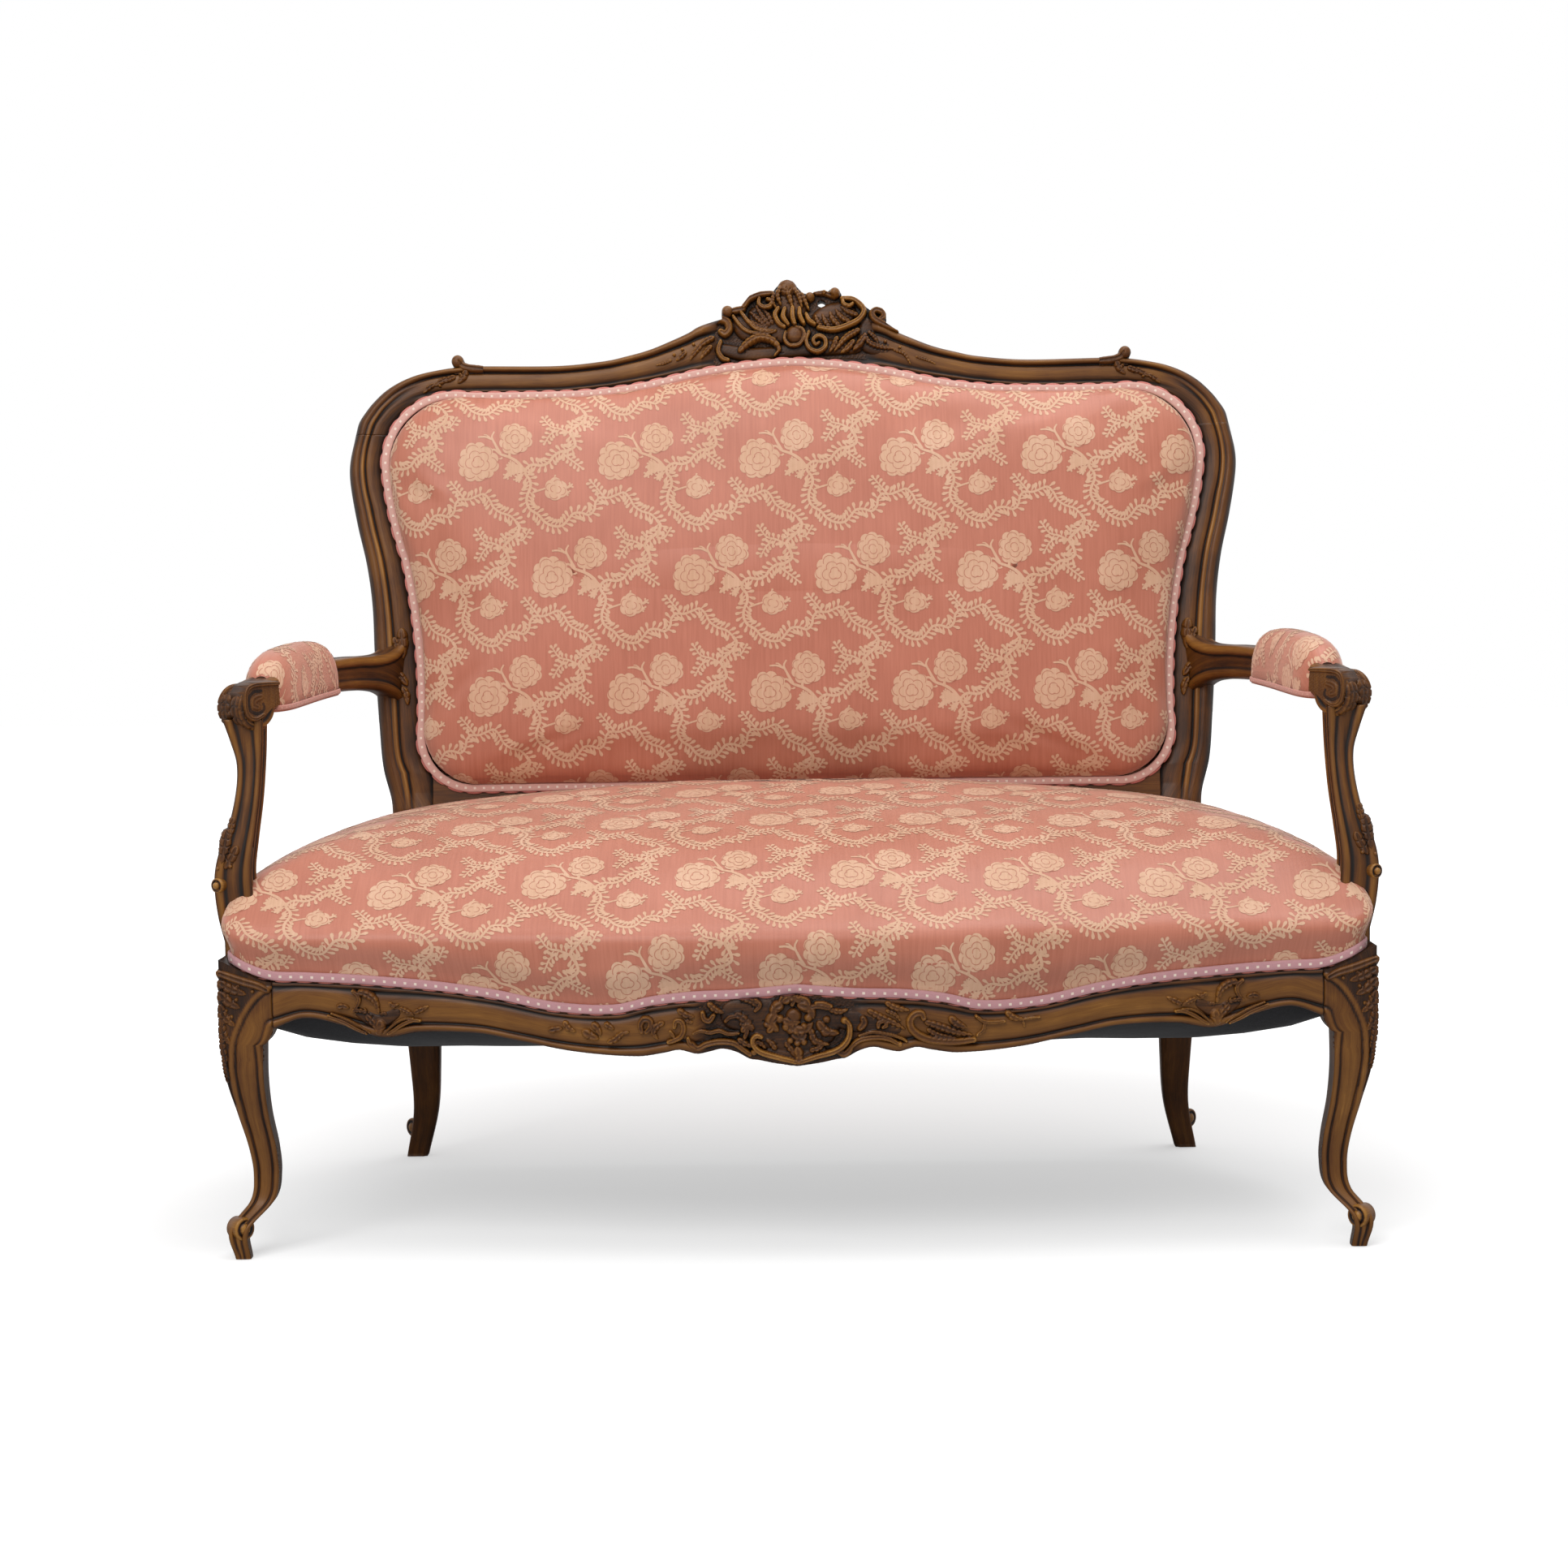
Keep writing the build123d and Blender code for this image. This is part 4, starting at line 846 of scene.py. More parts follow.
def carve(place, strokes, ground, bold, outline=None, hole=None, deep=None, cell=0.9, turn=False):
    # strokes on the surface that place(x, z, height) gives. With an outline the ground between them is kept
    # as well, less the hole; with a depth it is a solid piece. turn lays the wood's grain across.
    if outline is None:
        reach = np.concatenate([np.array(stroke[-1], float) for stroke in strokes])
        margin = max(stroke[1] for stroke in strokes) / 2 + 2
    else:
        reach = outline = np.array(outline, float)
        margin = 2 * cell
    low, top = reach.min(0) - margin, reach.max(0) + margin
    spots = np.meshgrid(np.arange(low[0], top[0], cell), np.arange(low[1], top[1], cell), indexing="ij")
    height = np.full(spots[0].shape, float(ground))
    grooves, tones = np.zeros_like(height), np.zeros_like(height)
    for stroke in strokes:
        # a stroke's tone makes its place lighter or darker; a cut's darker tone is painted shade
        tone = stroke[3] * (0.6 if stroke[3] > 0 else 0.3)
        tones = np.where(drawStroke(stroke, height, grooves, spots, cell, ground, bold), tone, tones)
    shallow = np.clip(1 - (height - ground) / 2, 0.2, 1)
    height = height - grooves
    keep = height > ground + 0.05
    if outline is not None:
        x, z = spots
        marks = np.sin(1.25 * x + 1.4 * np.sin(0.8 * z)) * np.sin(1.45 * z + np.sin(0.7 * x))
        height = height + carveLook["gouge"] * shallow * marks
        keep = inside(outline, *spots)
        if hole is not None:
            keep &= ~inside(hole, *spots)
    solid = keep[:-1, :-1] | keep[1:, :-1] | keep[1:, 1:] | keep[:-1, 1:]
    used = np.zeros(height.shape, bool)
    for i, j in ((0, 0), (1, 0), (1, 1), (0, 1)):
        used[i:i + solid.shape[0], j:j + solid.shape[1]] |= solid
    # painted shade: hollows and low ground come out darker, while crests come out lighter as rubbed wear
    curl = carveLook["crestWearHollowShade"] * (height - softened(height, 9))
    wear = np.clip(carveLook["wear"] + curl + 0.012 * (height - ground) + tones, 0.02, 1)[used]
    flat = np.stack([a[used] for a in spots], 1)
    if outline is not None:  # the grid's ragged edge goes to the outline and to the hole's edge
        loose = ~keep[used]
        if hole is not None:
            middle = hole.mean(0)
            near = np.linalg.norm(flat - middle, axis=1) < np.linalg.norm(hole[0] - middle) + 0.01
            flat[loose & near] = snapped(hole, *flat[loose & near].T)
            loose &= ~near
        flat[loose] = snapped(outline, *flat[loose].T)
    number = np.full(height.shape, -1)
    number[used] = np.arange(used.sum())
    i, j = np.nonzero(solid)
    faces = np.stack([number[i, j], number[i + 1, j], number[i + 1, j + 1], number[i, j + 1]], 1)
    points = place(*flat.T, height[used])
    if deep is None:
        return points, faces.tolist(), wear, (flat[:, ::-1] if turn else flat) / 1000
    n = len(points)  # a solid piece, with its own back and edge
    pairs = set(map(tuple, np.concatenate([faces[:, [k, (k + 1) % 4]] for k in range(4)]).tolist()))
    walls = [[b, a, a + n, b + n] for a, b in pairs if (b, a) not in pairs]
    points = np.concatenate([points, place(*flat.T, np.full(n, float(deep)))])
    flat = np.concatenate([flat, flat])
    return (points, faces.tolist() + (faces[:, ::-1] + n).tolist() + walls, np.r_[wear, np.full(n, 0.3)],
            (flat[:, ::-1] if turn else flat) / 1000)


def redrawn(origin, scale, path):  # drawn at another scale, x to the right and y down
    return [(origin[0] + x * scale, origin[1] - y * scale) for x, y in path]


def drawing(origin, scale, strokes):
    return [(form, wide * scale, high, tone, redrawn(origin, scale, path))
            for form, wide, high, tone, path in strokes]


# Crest: an asymmetric pierced shell between scrolls and leaf sprays. Like the two reliefs of the front rail
# it is drawn in smaller units, and its place gives the origin and the unit in mm.
crestCut = [("bar", 150, 0, -.1, [(640, 130), (690, 150), (700, 190)]),
            ("bar", 130, -1, -.14, [(520, 210), (560, 255), (640, 300)]),
            ("bar", 130, -1.5, -.14, [(830, 235), (900, 215), (955, 205)]),
            ("bar", 70, -3, -.16, [(330, 370), (480, 400), (620, 390)]),
            ("bar", 80, -3, -.16, [(620, 390), (800, 370), (1000, 370)]),
            ("bar", 60, -2, -.14, [(430, 240), (470, 300)]),
            ("bar", 60, -3, -.14, [(1050, 260), (1060, 350), (1150, 380)]),
            ("bar", 28, 3.5, .1,
             [(225, 264), (285, 236), (330, 228), (368, 240), (380, 275), (360, 300), (338, 288)]),
            ("bar", 24, 4, .06,
             [(1200, 292), (1130, 262), (1088, 235), (1080, 208), (1100, 194), (1128, 205), (1134, 228),
              (1118, 238)]), ("ball", 62, 6, -.05, [(372, 192)]),
            ("bar", 26, 3, -.06, [(395, 190), (450, 180)]),
            ("leaf", 22, 3, .0, [(565, 285), (515, 262), (468, 232)]),
            ("leaf", 22, 3, .0, [(565, 272), (520, 230), (482, 195)]),
            ("leaf", 22, 3.5, .0, [(575, 262), (540, 215), (512, 165)]),
            ("leaf", 20, 3.5, .0, [(592, 255), (565, 205), (548, 190)]),
            ("bar", 22, 5, .06, [(450, 172), (480, 132), (540, 110), (592, 106)]),
            ("bar", 16, 7, .12, [(528, 132), (526, 158), (550, 176), (582, 168), (588, 145), (568, 136)]),
            ("ball", 98, 6.5, -.06, [(665, 84)]),
            ("leaf", 20, 7.5, .02, [(632, 78), (618, 120), (634, 168)]),
            ("leaf", 22, 8, .05, [(662, 84), (676, 130), (690, 180)]),
            ("leaf", 20, 7.5, .0, [(698, 86), (724, 130), (736, 182)]),
            ("leaf", 18, 6, .0, [(600, 108), (594, 150), (612, 180)]),
            ("leaf", 18, 6, .0, [(735, 110), (752, 150), (770, 190)]),
            ("bar", 18, 9, .26, [(620, 182), (604, 215), (624, 258), (650, 274)]),
            ("bar", 18, 9.5, .28, [(652, 184), (644, 225), (668, 264)]),
            ("bar", 18, 9.5, .28, [(690, 180), (690, 225), (700, 262)]),
            ("bar", 17, 9.5, .28, [(724, 184), (726, 222), (744, 258)]),
            ("bar", 16, 8.5, .24, [(756, 212), (770, 242), (798, 262)]), ("ball", 50, 6, .05, [(775, 126)]),
            ("cut", 10, 2.5, 0, [(768, 118), (782, 124), (778, 136)]),
            ("bar", 18, 1, -.05, [(800, 106), (850, 108), (895, 128)]), ("ball", 28, 4, 0, [(845, 106)]),
            ("ball", 56, 7, .02, [(897, 108)]),
            ("leaf", 22, 3.5, .0, [(1005, 218), (960, 200), (925, 175)]),
            ("leaf", 22, 3.5, .0, [(965, 250), (925, 225), (900, 190)]),
            ("leaf", 22, 3.5, .0, [(915, 270), (885, 235), (872, 200)]),
            ("leaf", 20, 3, .0, [(868, 275), (848, 245), (836, 212)]),
            ("leaf", 18, 3, .0, [(828, 270), (810, 245), (800, 215)]),
            ("bar", 19, 7.5, .26,
             [(932, 136), (985, 142), (1028, 175), (1038, 202), (1014, 240), (960, 268), (890, 288),
              (815, 278)]), ("bar", 15, 8, .2, [(935, 140), (940, 165), (965, 176), (985, 164)]),
            ("bar", 16, 6, .2, [(440, 200), (470, 240), (520, 284), (592, 292)]),
            ("bar", 14, 5, .18, [(400, 216), (438, 268), (480, 296), (560, 304), (605, 292)]),
            ("ball", 104, 6, -.06, [(700, 312)]),
            ("bar", 14, 8, .04,
             [(655, 300), (650, 335), (675, 364), (720, 360), (746, 320), (736, 286), (706, 276)]),
            ("bar", 16, 8, .2,
             [(768, 300), (754, 340), (770, 380), (810, 396), (846, 375), (846, 336), (815, 320),
              (790, 338), (800, 362), (818, 354)]),
            ("leaf", 30, 6.5, .12,
             [(430, 386), (480, 340), (530, 320), (590, 336), (622, 380), (600, 412)]),
            ("bar", 17, 5, .12, [(338, 338), (326, 384), (346, 420), (374, 430)]),
            ("leaf", 24, 2.5, .0, [(300, 318), (262, 338), (225, 368)]),
            ("leaf", 22, 2, -.04, [(250, 345), (215, 385), (188, 424)]),
            ("leaf", 20, 2, -.04, [(165, 388), (146, 408), (120, 428)]),
            ("leaf", 14, .5, -.04, [(95, 425), (58, 440), (20, 450)]),
            ("leaf", 20, 2, -.04, [(290, 360), (262, 390), (240, 420)]),
            ("ball", 20, 1, 0, [(205, 350), (150, 375), (110, 400)]),
            ("leaf", 28, 4, .02, [(1040, 322), (1020, 352), (985, 388)]),
            ("leaf", 24, 3.5, .02, [(985, 345), (960, 375), (925, 400)]),
            ("leaf", 24, 4.5, .08, [(1012, 290), (950, 326), (892, 392)]),
            ("leaf", 22, 3, .0, [(905, 325), (890, 365), (868, 395)]),
            ("leaf", 20, 3, .0, [(1040, 310), (1062, 352), (1120, 376), (1184, 386)]),
            ("leaf", 16, 1.5, .0, [(1180, 388), (1232, 410), (1262, 462)]),
            ("leaf", 14, .5, -.02, [(1290, 424), (1340, 440), (1384, 462)]),
            ("leaf", 18, 2, .0, [(1060, 300), (1090, 330), (1105, 362)]),
            ("ball", 20, 1, 0, [(1140, 350), (1210, 380)]),
            ("cut", 12, 3, -.2, [(640, 395), (700, 400), (760, 408)])]
crestEdgeLine = [(345, 232), (343, 205), (345, 180), (360, 165), (378, 162), (400, 172), (425, 170),
                 (450, 158), (480, 122), (530, 100), (592, 96), (610, 72), (635, 50), (665, 42), (695, 52),
                 (718, 75), (738, 102), (760, 104), (775, 100), (795, 104), (830, 98), (846, 92), (862, 96),
                 (876, 84), (897, 78), (918, 86), (928, 106), (934, 124), (985, 130), (1020, 148),
                 (1052, 175), (1072, 190), (1098, 180), (1128, 190), (1146, 212), (1148, 240), (1138, 258),
                 (1190, 292), (1300, 360), (1400, 430), (1400, 480), (1000, 425), (690, 418), (330, 446),
                 (20, 520), (0, 440), (110, 370), (225, 300), (300, 262)]
crestPlace = ((-177.32, 1120.576), 0.261)
crestFacing, frontFacing = (0, -1, 0.2), (0, -1, 0)
round24 = np.linspace(0, 2 * pi, 24, endpoint=False)
pierced = redrawn(*crestPlace, [(832, 152)]) + np.stack([5.6 * np.cos(round24), 5.0 * np.sin(round24)], 1)
addPiece("crestCarving", carve(onBack, drawing(*crestPlace, crestCut), -9, 1.55,
                               redrawn(*crestPlace, crestEdgeLine), pierced, -31, 0.8, True),
         polishedWalnut, facing=crestFacing)

# Ears of the crest rail: the bead curls up into a small scroll, with husk leaves running down the corner
earCut = [("bar", 9, 1.6, .1, [(392, 1001.5), (408, 1003), (418, 1006), (423, 1012)]),
          ("ball", 15.6, 3.5, .05, [(424.6, 1012)]),
          ("cut", 2.6, 2.2, -.1, [(422, 1014.5), (426.5, 1014), (427, 1010), (423.5, 1009)])]
earTurn = np.linspace(-0.35 * pi, 1.05 * pi, 18)
earRound = np.stack([424.6 + 7.9 * np.cos(earTurn), 1012 + 7.9 * np.sin(earTurn)], 1)
earEdge = [(392, 996), (428.5, 996), *earRound, (410, 1007.4), (392, 1005.7)]
addPair("crestEar", carve(onBack, earCut, -4, 1.2, earEdge, None, -20, 0.6, True), facing=crestFacing)
husks = [("leaf", 7, 1.5, .05, [(414, 999), (417, 992), (424, 984.5)]),
         ("leaf", 6, .8, 0, [(429, 992), (436, 989), (443, 985.5)]),
         ("leaf", 6, .8, .03, [(438, 990), (446, 986), (454, 981)]),
         ("leaf", 5, .5, 0, [(455, 982.5), (462, 978), (468, 972.5)]),
         ("ball", 5, 1, .1, [(421, 995), (447, 981)])]
addPair("crestHusks", carve(onBack, husks, -7, 1.6, cell=0.6, turn=True), facing=crestFacing)

# Leaves in the angle between each arm and the stile
angleLeaves = [("leaf", 9, 4, .0, [(496, 672), (494.5, 655), (494, 638)]),
               ("leaf", 9, 4, .02, [(516, 645), (508, 637), (497, 628)]),
               ("leaf", 8, 4, .0, [(545, 620), (530, 624), (514, 622)]),
               ("leaf", 7, 3.6, .0, [(500, 618), (494, 611), (489, 604)]),
               ("leaf", 6, 3.4, .0, [(494, 600), (490, 592), (488, 580)]),
               ("ball", 5, 3.8, .08, [(507, 646), (505, 620), (520, 632)]),
               ("leaf", 6, 3.5, .0, [(505, 662), (501, 650), (500, 640)]),
               ("leaf", 6, 3.8, .02, [(530, 634), (520, 628), (510, 616)])]
addPair("armLeaves", carve(onBack, angleLeaves, -7, 1.8, cell=0.7), facing=crestFacing)
print("back carving made")


# Front rail: an open flower between C-scrolls in the middle, and a leaf cusp towards each end
def onFront(x, z, h):
    out = unit(xyz(frontY(x + 0.5) - frontY(x - 0.5), -1, 0))
    return xyz(x, frontY(x), z) + out * np.asarray(h)[..., None]


def railPatch(start, end, step):  # the front rail's face between two places, from its lower edge to its upper
    low = [(x, float(frontLowZ(x)) - 0.3) for x in np.arange(start, end, step)]
    return low + [(x, float(gimpZ(x)) + 1) for x in np.arange(end - 1, start - 1, -step)]


leftCut = [("leaf", 28, 3, 0, [(66, 256), (100, 250), (138, 244)]),
           ("leaf", 26, 3.5, 0, [(150, 212), (172, 244), (208, 262)]),
           ("leaf", 38, 4, 0, [(258, 262), (292, 286), (334, 302)]),
           ("leaf", 28, 3.5, 0, [(308, 222), (332, 248), (348, 284)]),
           ("leaf", 24, 3, 0, [(375, 222), (398, 236), (422, 250)]),
           ("leaf", 26, 4, 0, [(392, 322), (434, 302), (462, 276), (505, 264)]),
           ("bar", 24, 4.5, .02, [(575, 265), (568, 226), (590, 195), (622, 204), (622, 240), (600, 266)]),
           ("leaf", 28, 4, 0, [(692, 214), (656, 236), (640, 272), (662, 304)]),
           ("bar", 20, 5, .1,
            [(755, 240), (765, 206), (794, 208), (806, 250), (790, 290), (756, 310), (722, 322)]),
           ("bar", 15, 4, .06, [(732, 262), (752, 292)]),
           ("leaf", 26, 3, 0, [(780, 148), (820, 174), (866, 182)]),
           ("leaf", 24, 3, 0, [(946, 112), (980, 144), (1026, 162)]),
           ("bar", 20, 4.5, .03, [(910, 160), (920, 195), (946, 205), (972, 174)]),
           ("bar", 16, 4, .03, [(1036, 208), (1060, 186), (1104, 180)]),
           ("leaf", 18, 2.5, 0, [(820, 200), (840, 212), (858, 206)]),
           ("bar", 15, 3, .05, [(858, 276), (900, 262), (950, 271), (1000, 262), (1050, 279), (1106, 276)]),
           ("bar", 22, 2.5, .24,
            [(848, 330), (880, 357), (930, 336), (1000, 323), (1080, 331), (1130, 365), (1168, 394)]),
           ("bar", 16, 3.5, .08, [(828, 300), (838, 330), (868, 356)]), ("ball", 38, 5, .12, [(1190, 381)]),
           ("leaf", 34, 4, -.06, [(1098, 168), (1150, 210), (1184, 264)]),
           ("bar", 18, 4, 0, [(1120, 222), (1152, 260), (1140, 300)]),
           ("leaf", 26, 4, 0, [(1120, 78), (1180, 98), (1224, 142)]),
           ("bar", 16, 5, .06, [(1200, 90), (1226, 120), (1200, 152)])]
middleCut = [("bar", 210, -.5, -.3, [(-150, 150), (0, 170), (160, 190), (330, 200)]),
             ("bar", 130, -.5, -.3, [(-40, 260), (180, 300), (330, 260)]),
             ("bar", 50, 0, -.2, [(30, 360), (180, 385), (300, 350)]),
             ("bar", 120, -1, -.2, [(400, 180), (560, 210), (700, 230)]),
             ("leaf", 44, 6, .0, [(130, 195), (150, 226), (215, 232), (255, 196)]),
             ("leaf", 44, 6, -.02, [(60, 150), (40, 190), (70, 236)]),
             ("leaf", 40, 6, .0, [(190, 100), (240, 120), (262, 170)]),
             ("leaf", 40, 6, -.04, [(90, 100), (60, 120), (52, 150)]),
             ("leaf", 36, 6.5, .0, [(110, 80), (150, 60), (200, 84)]),
             ("leaf", 34, 7, .05, [(110, 178), (140, 196), (190, 190)]),
             ("ball", 90, 5.5, -.1, [(158, 158)]),
             ("ball", 50, 7, 0, [(120, 215), (168, 236), (212, 216), (86, 172), (236, 168)]),
             ("ball", 40, 6, .1, [(176, 300), (140, 288), (210, 296)]),
             ("ball", 46, 4.5, -.1, [(330, 180), (320, 250), (20, 200)]),
             ("cut", 26, 6, -.35, [(146, 154), (172, 158)]),
             ("leaf", 36, 5, -.02, [(290, 196), (326, 240), (392, 254)]),
             ("leaf", 32, 5, -.06, [(150, 252), (196, 274), (226, 252)]),
             ("leaf", 26, 6, .06, [(26, 238), (56, 214), (76, 238)]),
             ("leaf", 28, 5, -.06, [(246, 232), (268, 290), (340, 312)]),
             ("leaf", 24, 4, -.06, [(118, 300), (146, 340), (160, 372)]),
             ("leaf", 22, 4, 0, [(246, 342), (288, 330), (322, 300)]),
             ("leaf", 22, 4, -.06, [(60, 330), (40, 300), (16, 282)]),
             ("leaf", 22, 4, -.04, [(-60, 290), (-20, 300), (10, 330)]),
             ("leaf", 26, 5, 0, [(-110, 235), (-80, 205), (-50, 222)]),
             ("leaf", 22, 4, -.05, [(-130, 280), (-100, 300), (-60, 320)]),
             ("bar", 20, 5, -.05, [(90, 82), (118, 50), (160, 60), (152, 100)]),
             ("bar", 18, 5, -.02, [(190, 62), (230, 80), (242, 110), (290, 110), (344, 122)]),
             ("bar", 16, 5, .08, [(276, 94), (320, 98), (356, 112)]),
             ("leaf", 22, 4, 0, [(350, 130), (400, 140), (440, 130)]),
             ("bar", 20, 7.5, .34,
              [(-12, 268), (-38, 262), (-55, 280), (-52, 310), (-20, 345), (60, 372), (178, 404)]),
             ("ball", 42, 7.5, .24, [(424, 186)]),
             ("bar", 20, 7.5, .24,
              [(428, 180), (450, 215), (442, 285), (388, 340), (262, 378), (184, 404)]),
             ("leaf", 34, 5, .12, [(176, 330), (184, 372), (180, 412)]),
             ("bar", 26, 4, .05, [(395, 354), (425, 362), (452, 338)]),
             ("bar", 20, 4, .12, [(440, 345), (480, 305), (522, 285), (600, 278), (660, 290), (702, 313)]),
             ("bar", 12, 4, .1, [(500, 268), (570, 250), (650, 262), (720, 285), (748, 302)]),
             ("ball", 32, 5, .12, [(712, 315)]), ("bar", 26, 4, .05, [(520, 175), (526, 200), (504, 230)]),
             ("bar", 17, 4.5, .06, [(600, 226), (604, 200), (632, 194), (642, 215), (624, 226)]),
             ("leaf", 26, 4, .08, [(552, 138), (620, 175), (682, 202), (740, 238)]),
             ("leaf", 24, 4, 0, [(646, 98), (690, 124), (764, 140)]),
             ("leaf", 18, 4, 0, [(646, 138), (690, 160), (718, 198)]),
             ("bar", 28, 6, .14,
              [(838, 182), (826, 156), (790, 160), (766, 195), (778, 240), (830, 280), (900, 300),
               (1000, 308), (1100, 300)]), ("cut", 14, 4, -.3, [(806, 182), (822, 190)]),
             ("leaf", 30, 5, 0, [(850, 202), (920, 226), (1000, 256), (1092, 276)]),
             ("leaf", 24, 4, .06, [(860, 242), (920, 275), (1012, 290)]),
             ("leaf", 32, 5, 0, [(980, 184), (1010, 214), (1062, 236)]),
             ("bar", 14, 3.5, .06, [(1114, 178), (1150, 205), (1200, 212), (1262, 208)]),
             ("bar", 14, 3.5, .04, [(1156, 214), (1150, 250), (1118, 278)]),
             ("leaf", 24, 4, .06, [(1276, 162), (1310, 190), (1364, 200)]),
             ("bar", 10, 3, .06, [(1360, 200), (1400, 195), (1448, 190)]),
             ("bar", 9, 3, .06, [(1360, 205), (1366, 238)])]
centre = drawing((-283.2, 306.7), 0.198, leftCut) + drawing((-37.0, 303.6), 0.2074, middleCut)
addPiece("frontCentreCarving", carve(onFront, centre, -4.8, 1.75, railPatch(-281.0, 266.0, 4.0), turn=True),
         polishedWalnut, facing=frontFacing)
cuspCut = [("leaf", 34, 3.5, -.03, [(78, 292), (120, 286), (166, 300)]),
           ("bar", 22, 4.5, 0, [(196, 172), (236, 205), (244, 240), (226, 286), (196, 322)]),
           ("leaf", 26, 4, 0, [(190, 326), (240, 316), (292, 330), (286, 300)]),
           ("leaf", 42, 5, 0, [(246, 178), (310, 200), (360, 240), (394, 336)]),
           ("leaf", 26, 3.5, 0, [(470, 262), (505, 284), (544, 270)]),
           ("leaf", 30, 4, 0, [(552, 300), (600, 322), (654, 352)]),
           ("leaf", 34, 4, .02, [(664, 334), (712, 312), (766, 286)]),
           ("leaf", 22, 3, 0, [(410, 350), (430, 340), (452, 352)]),
           ("bar", 120, 0, -.2, [(240, 330), (380, 400), (520, 340)]),
           ("leaf", 40, 3, -.05, [(300, 360), (350, 420), (380, 470)]),
           ("bar", 22, 2.5, .2, [(0, 362), (120, 408), (220, 462), (290, 496)]),
           ("bar", 14, 2.5, .05, [(30, 342), (140, 386), (240, 436), (318, 488)]),
           ("bar", 22, 2.5, .2, [(700, 396), (640, 396), (560, 430), (500, 470), (456, 496)]),
           ("bar", 14, 2.5, .05, [(650, 376), (580, 384), (510, 420), (452, 470), (426, 492)]),
           ("leaf", 60, 3.5, .2, [(400, 410), (392, 450), (384, 494)])]
cusp = [(*stroke, [(-x, z) for x, z in path]) for *stroke, path in drawing((-515.3, 323.8), 0.1462, cuspCut)]
addPair("cuspCarving", carve(onFront, cusp, -4.8, 1.7, railPatch(392.0, 517.0, 3.0), cell=0.8, turn=True),
        facing=frontFacing)
print("front rail carving made")


# Knees: low leafy relief outside the legs' outer bead, on the front and on the side
def onKnee(x, z, h):
    out, near = legFaces(z)[::2]
    return xyz(np.minimum(x, out + 0.6), near - h, z)


def onKneeSide(y, z, h):
    out, near = legFaces(z)[::2]
    return xyz(out + h, np.maximum(y, near - 0.6), z)


kneeCut = [("bar", 7, 2.4, .1, [(632, 321), (625, 318), (606, 311), (590, 306), (580, 301)]),
           ("leaf", 9, 2, 0, [(631, 310), (620, 303), (604, 297)]),
           ("leaf", 9, 2, 0, [(632, 298), (622, 288), (611, 282)]),
           ("leaf", 8, 1.8, 0, [(632, 284), (627, 271), (617, 262)]),
           ("leaf", 8, 1.6, 0, [(632, 268), (630, 254), (623, 242)]),
           ("leaf", 7, 1.2, 0, [(632, 249), (631, 236), (627, 222)]),
           ("leaf", 5, 1, 0, [(631, 229), (630, 214), (628, 199)]),
           ("ball", 5, 1.4, .05,
            [(612, 306), (624, 296), (614, 291), (626, 279), (620, 272), (629, 262), (596, 300)])]
roundCorner = plan["kneeFrontY"] + plan["kneeHalf"]  # less x it is the y as far behind the knee's corner
sideCut = [(*stroke, [(roundCorner - x, z) for x, z in path]) for *stroke, path in kneeCut]
addPair("kneeCarving", carve(onKnee, kneeCut, -4, 1.5, cell=0.7), facing=frontFacing)
addPair("kneeSideCarving", carve(onKneeSide, sideCut, -4, 1.5), facing=(1, 0, 0))


# Knuckles: a C-scroll cut in the inner face, acanthus over the roll
def onDisc(x, z, h):
    return (knuckle["middle"] + diagonal * (knuckle["in"] + h[:, None]) + x[:, None] * level45
            + z[:, None] * np.array([0, 0, 1.0]))


def onRoll(x, z, h):  # x along the arc from the front, z along the knuckle
    turn, radius = x[:, None] / 24, knuckle["roll"] + h[:, None]
    return (knuckle["middle"] + z[:, None] * diagonal + radius * np.cos(turn) * level45
            + radius * np.sin(turn) * np.array([0, 0, 1.0]))


discCut = [("bar", 60, 0, .3, [(-10, 6), (10, 6)]),
           ("bar", 4.4, 2.6, .24,
            [(-26, 26), (5, 25.5), (15, 22), (18.5, 13), (18.5, 0), (14, -10), (5, -12.5), (-5, -8)]),
           ("bar", 7, 1.2, .3, [(-3, 12), (6, 9), (8, 3), (2, 0)]),
           ("cut", 3.2, 2.4, -.4,
            [(-3, 18.5), (8, 17.5), (14.5, 9), (12, -3), (3, -6.5), (-6, -2), (-5, 4)])]
discEdge = [(21, 2), (21, 17), (17, 25), (8, 28.3), (-27, 28.5), (-28, 2), (-18, -1), (-8, -9), (2, -15),
            (12, -15), (19, -8)]
addPair("knuckleScroll", carve(onDisc, discCut, -1, 1.3, discEdge, None, -24, 0.6), facing=diagonal)
rollCut = [("leaf", 15, 3.2, .0, [(-44, 4), (-20, 8), (8, 10), (38, 8)]),
           ("leaf", 13, 3, -.03, [(-42, -8), (-16, -10), (10, -8), (36, -4)]),
           ("leaf", 10, 2.8, .0, [(-30, -18), (-8, -18), (14, -17)]),
           ("ball", 7, 3, .05, [(18, 0), (-6, 0), (-24, -1), (30, -14)]),
           ("bar", 5, 2.8, .12, [(-46, 16), (0, 16.5), (52, 16)]),
           ("bar", 4, 2.4, .06, [(-40, -21), (0, -21), (50, -20)])]
addPair("knuckleLeaves", carve(onRoll, rollCut, -2, 1.4, cell=0.8), facing=(1, -1, 0))


# Arm posts: a few husks low on the front, over a small volute
def onPost(x, z, h):
    return xyz(x, post["frontY"] + along(postLean, postShare(z)) - h, z)


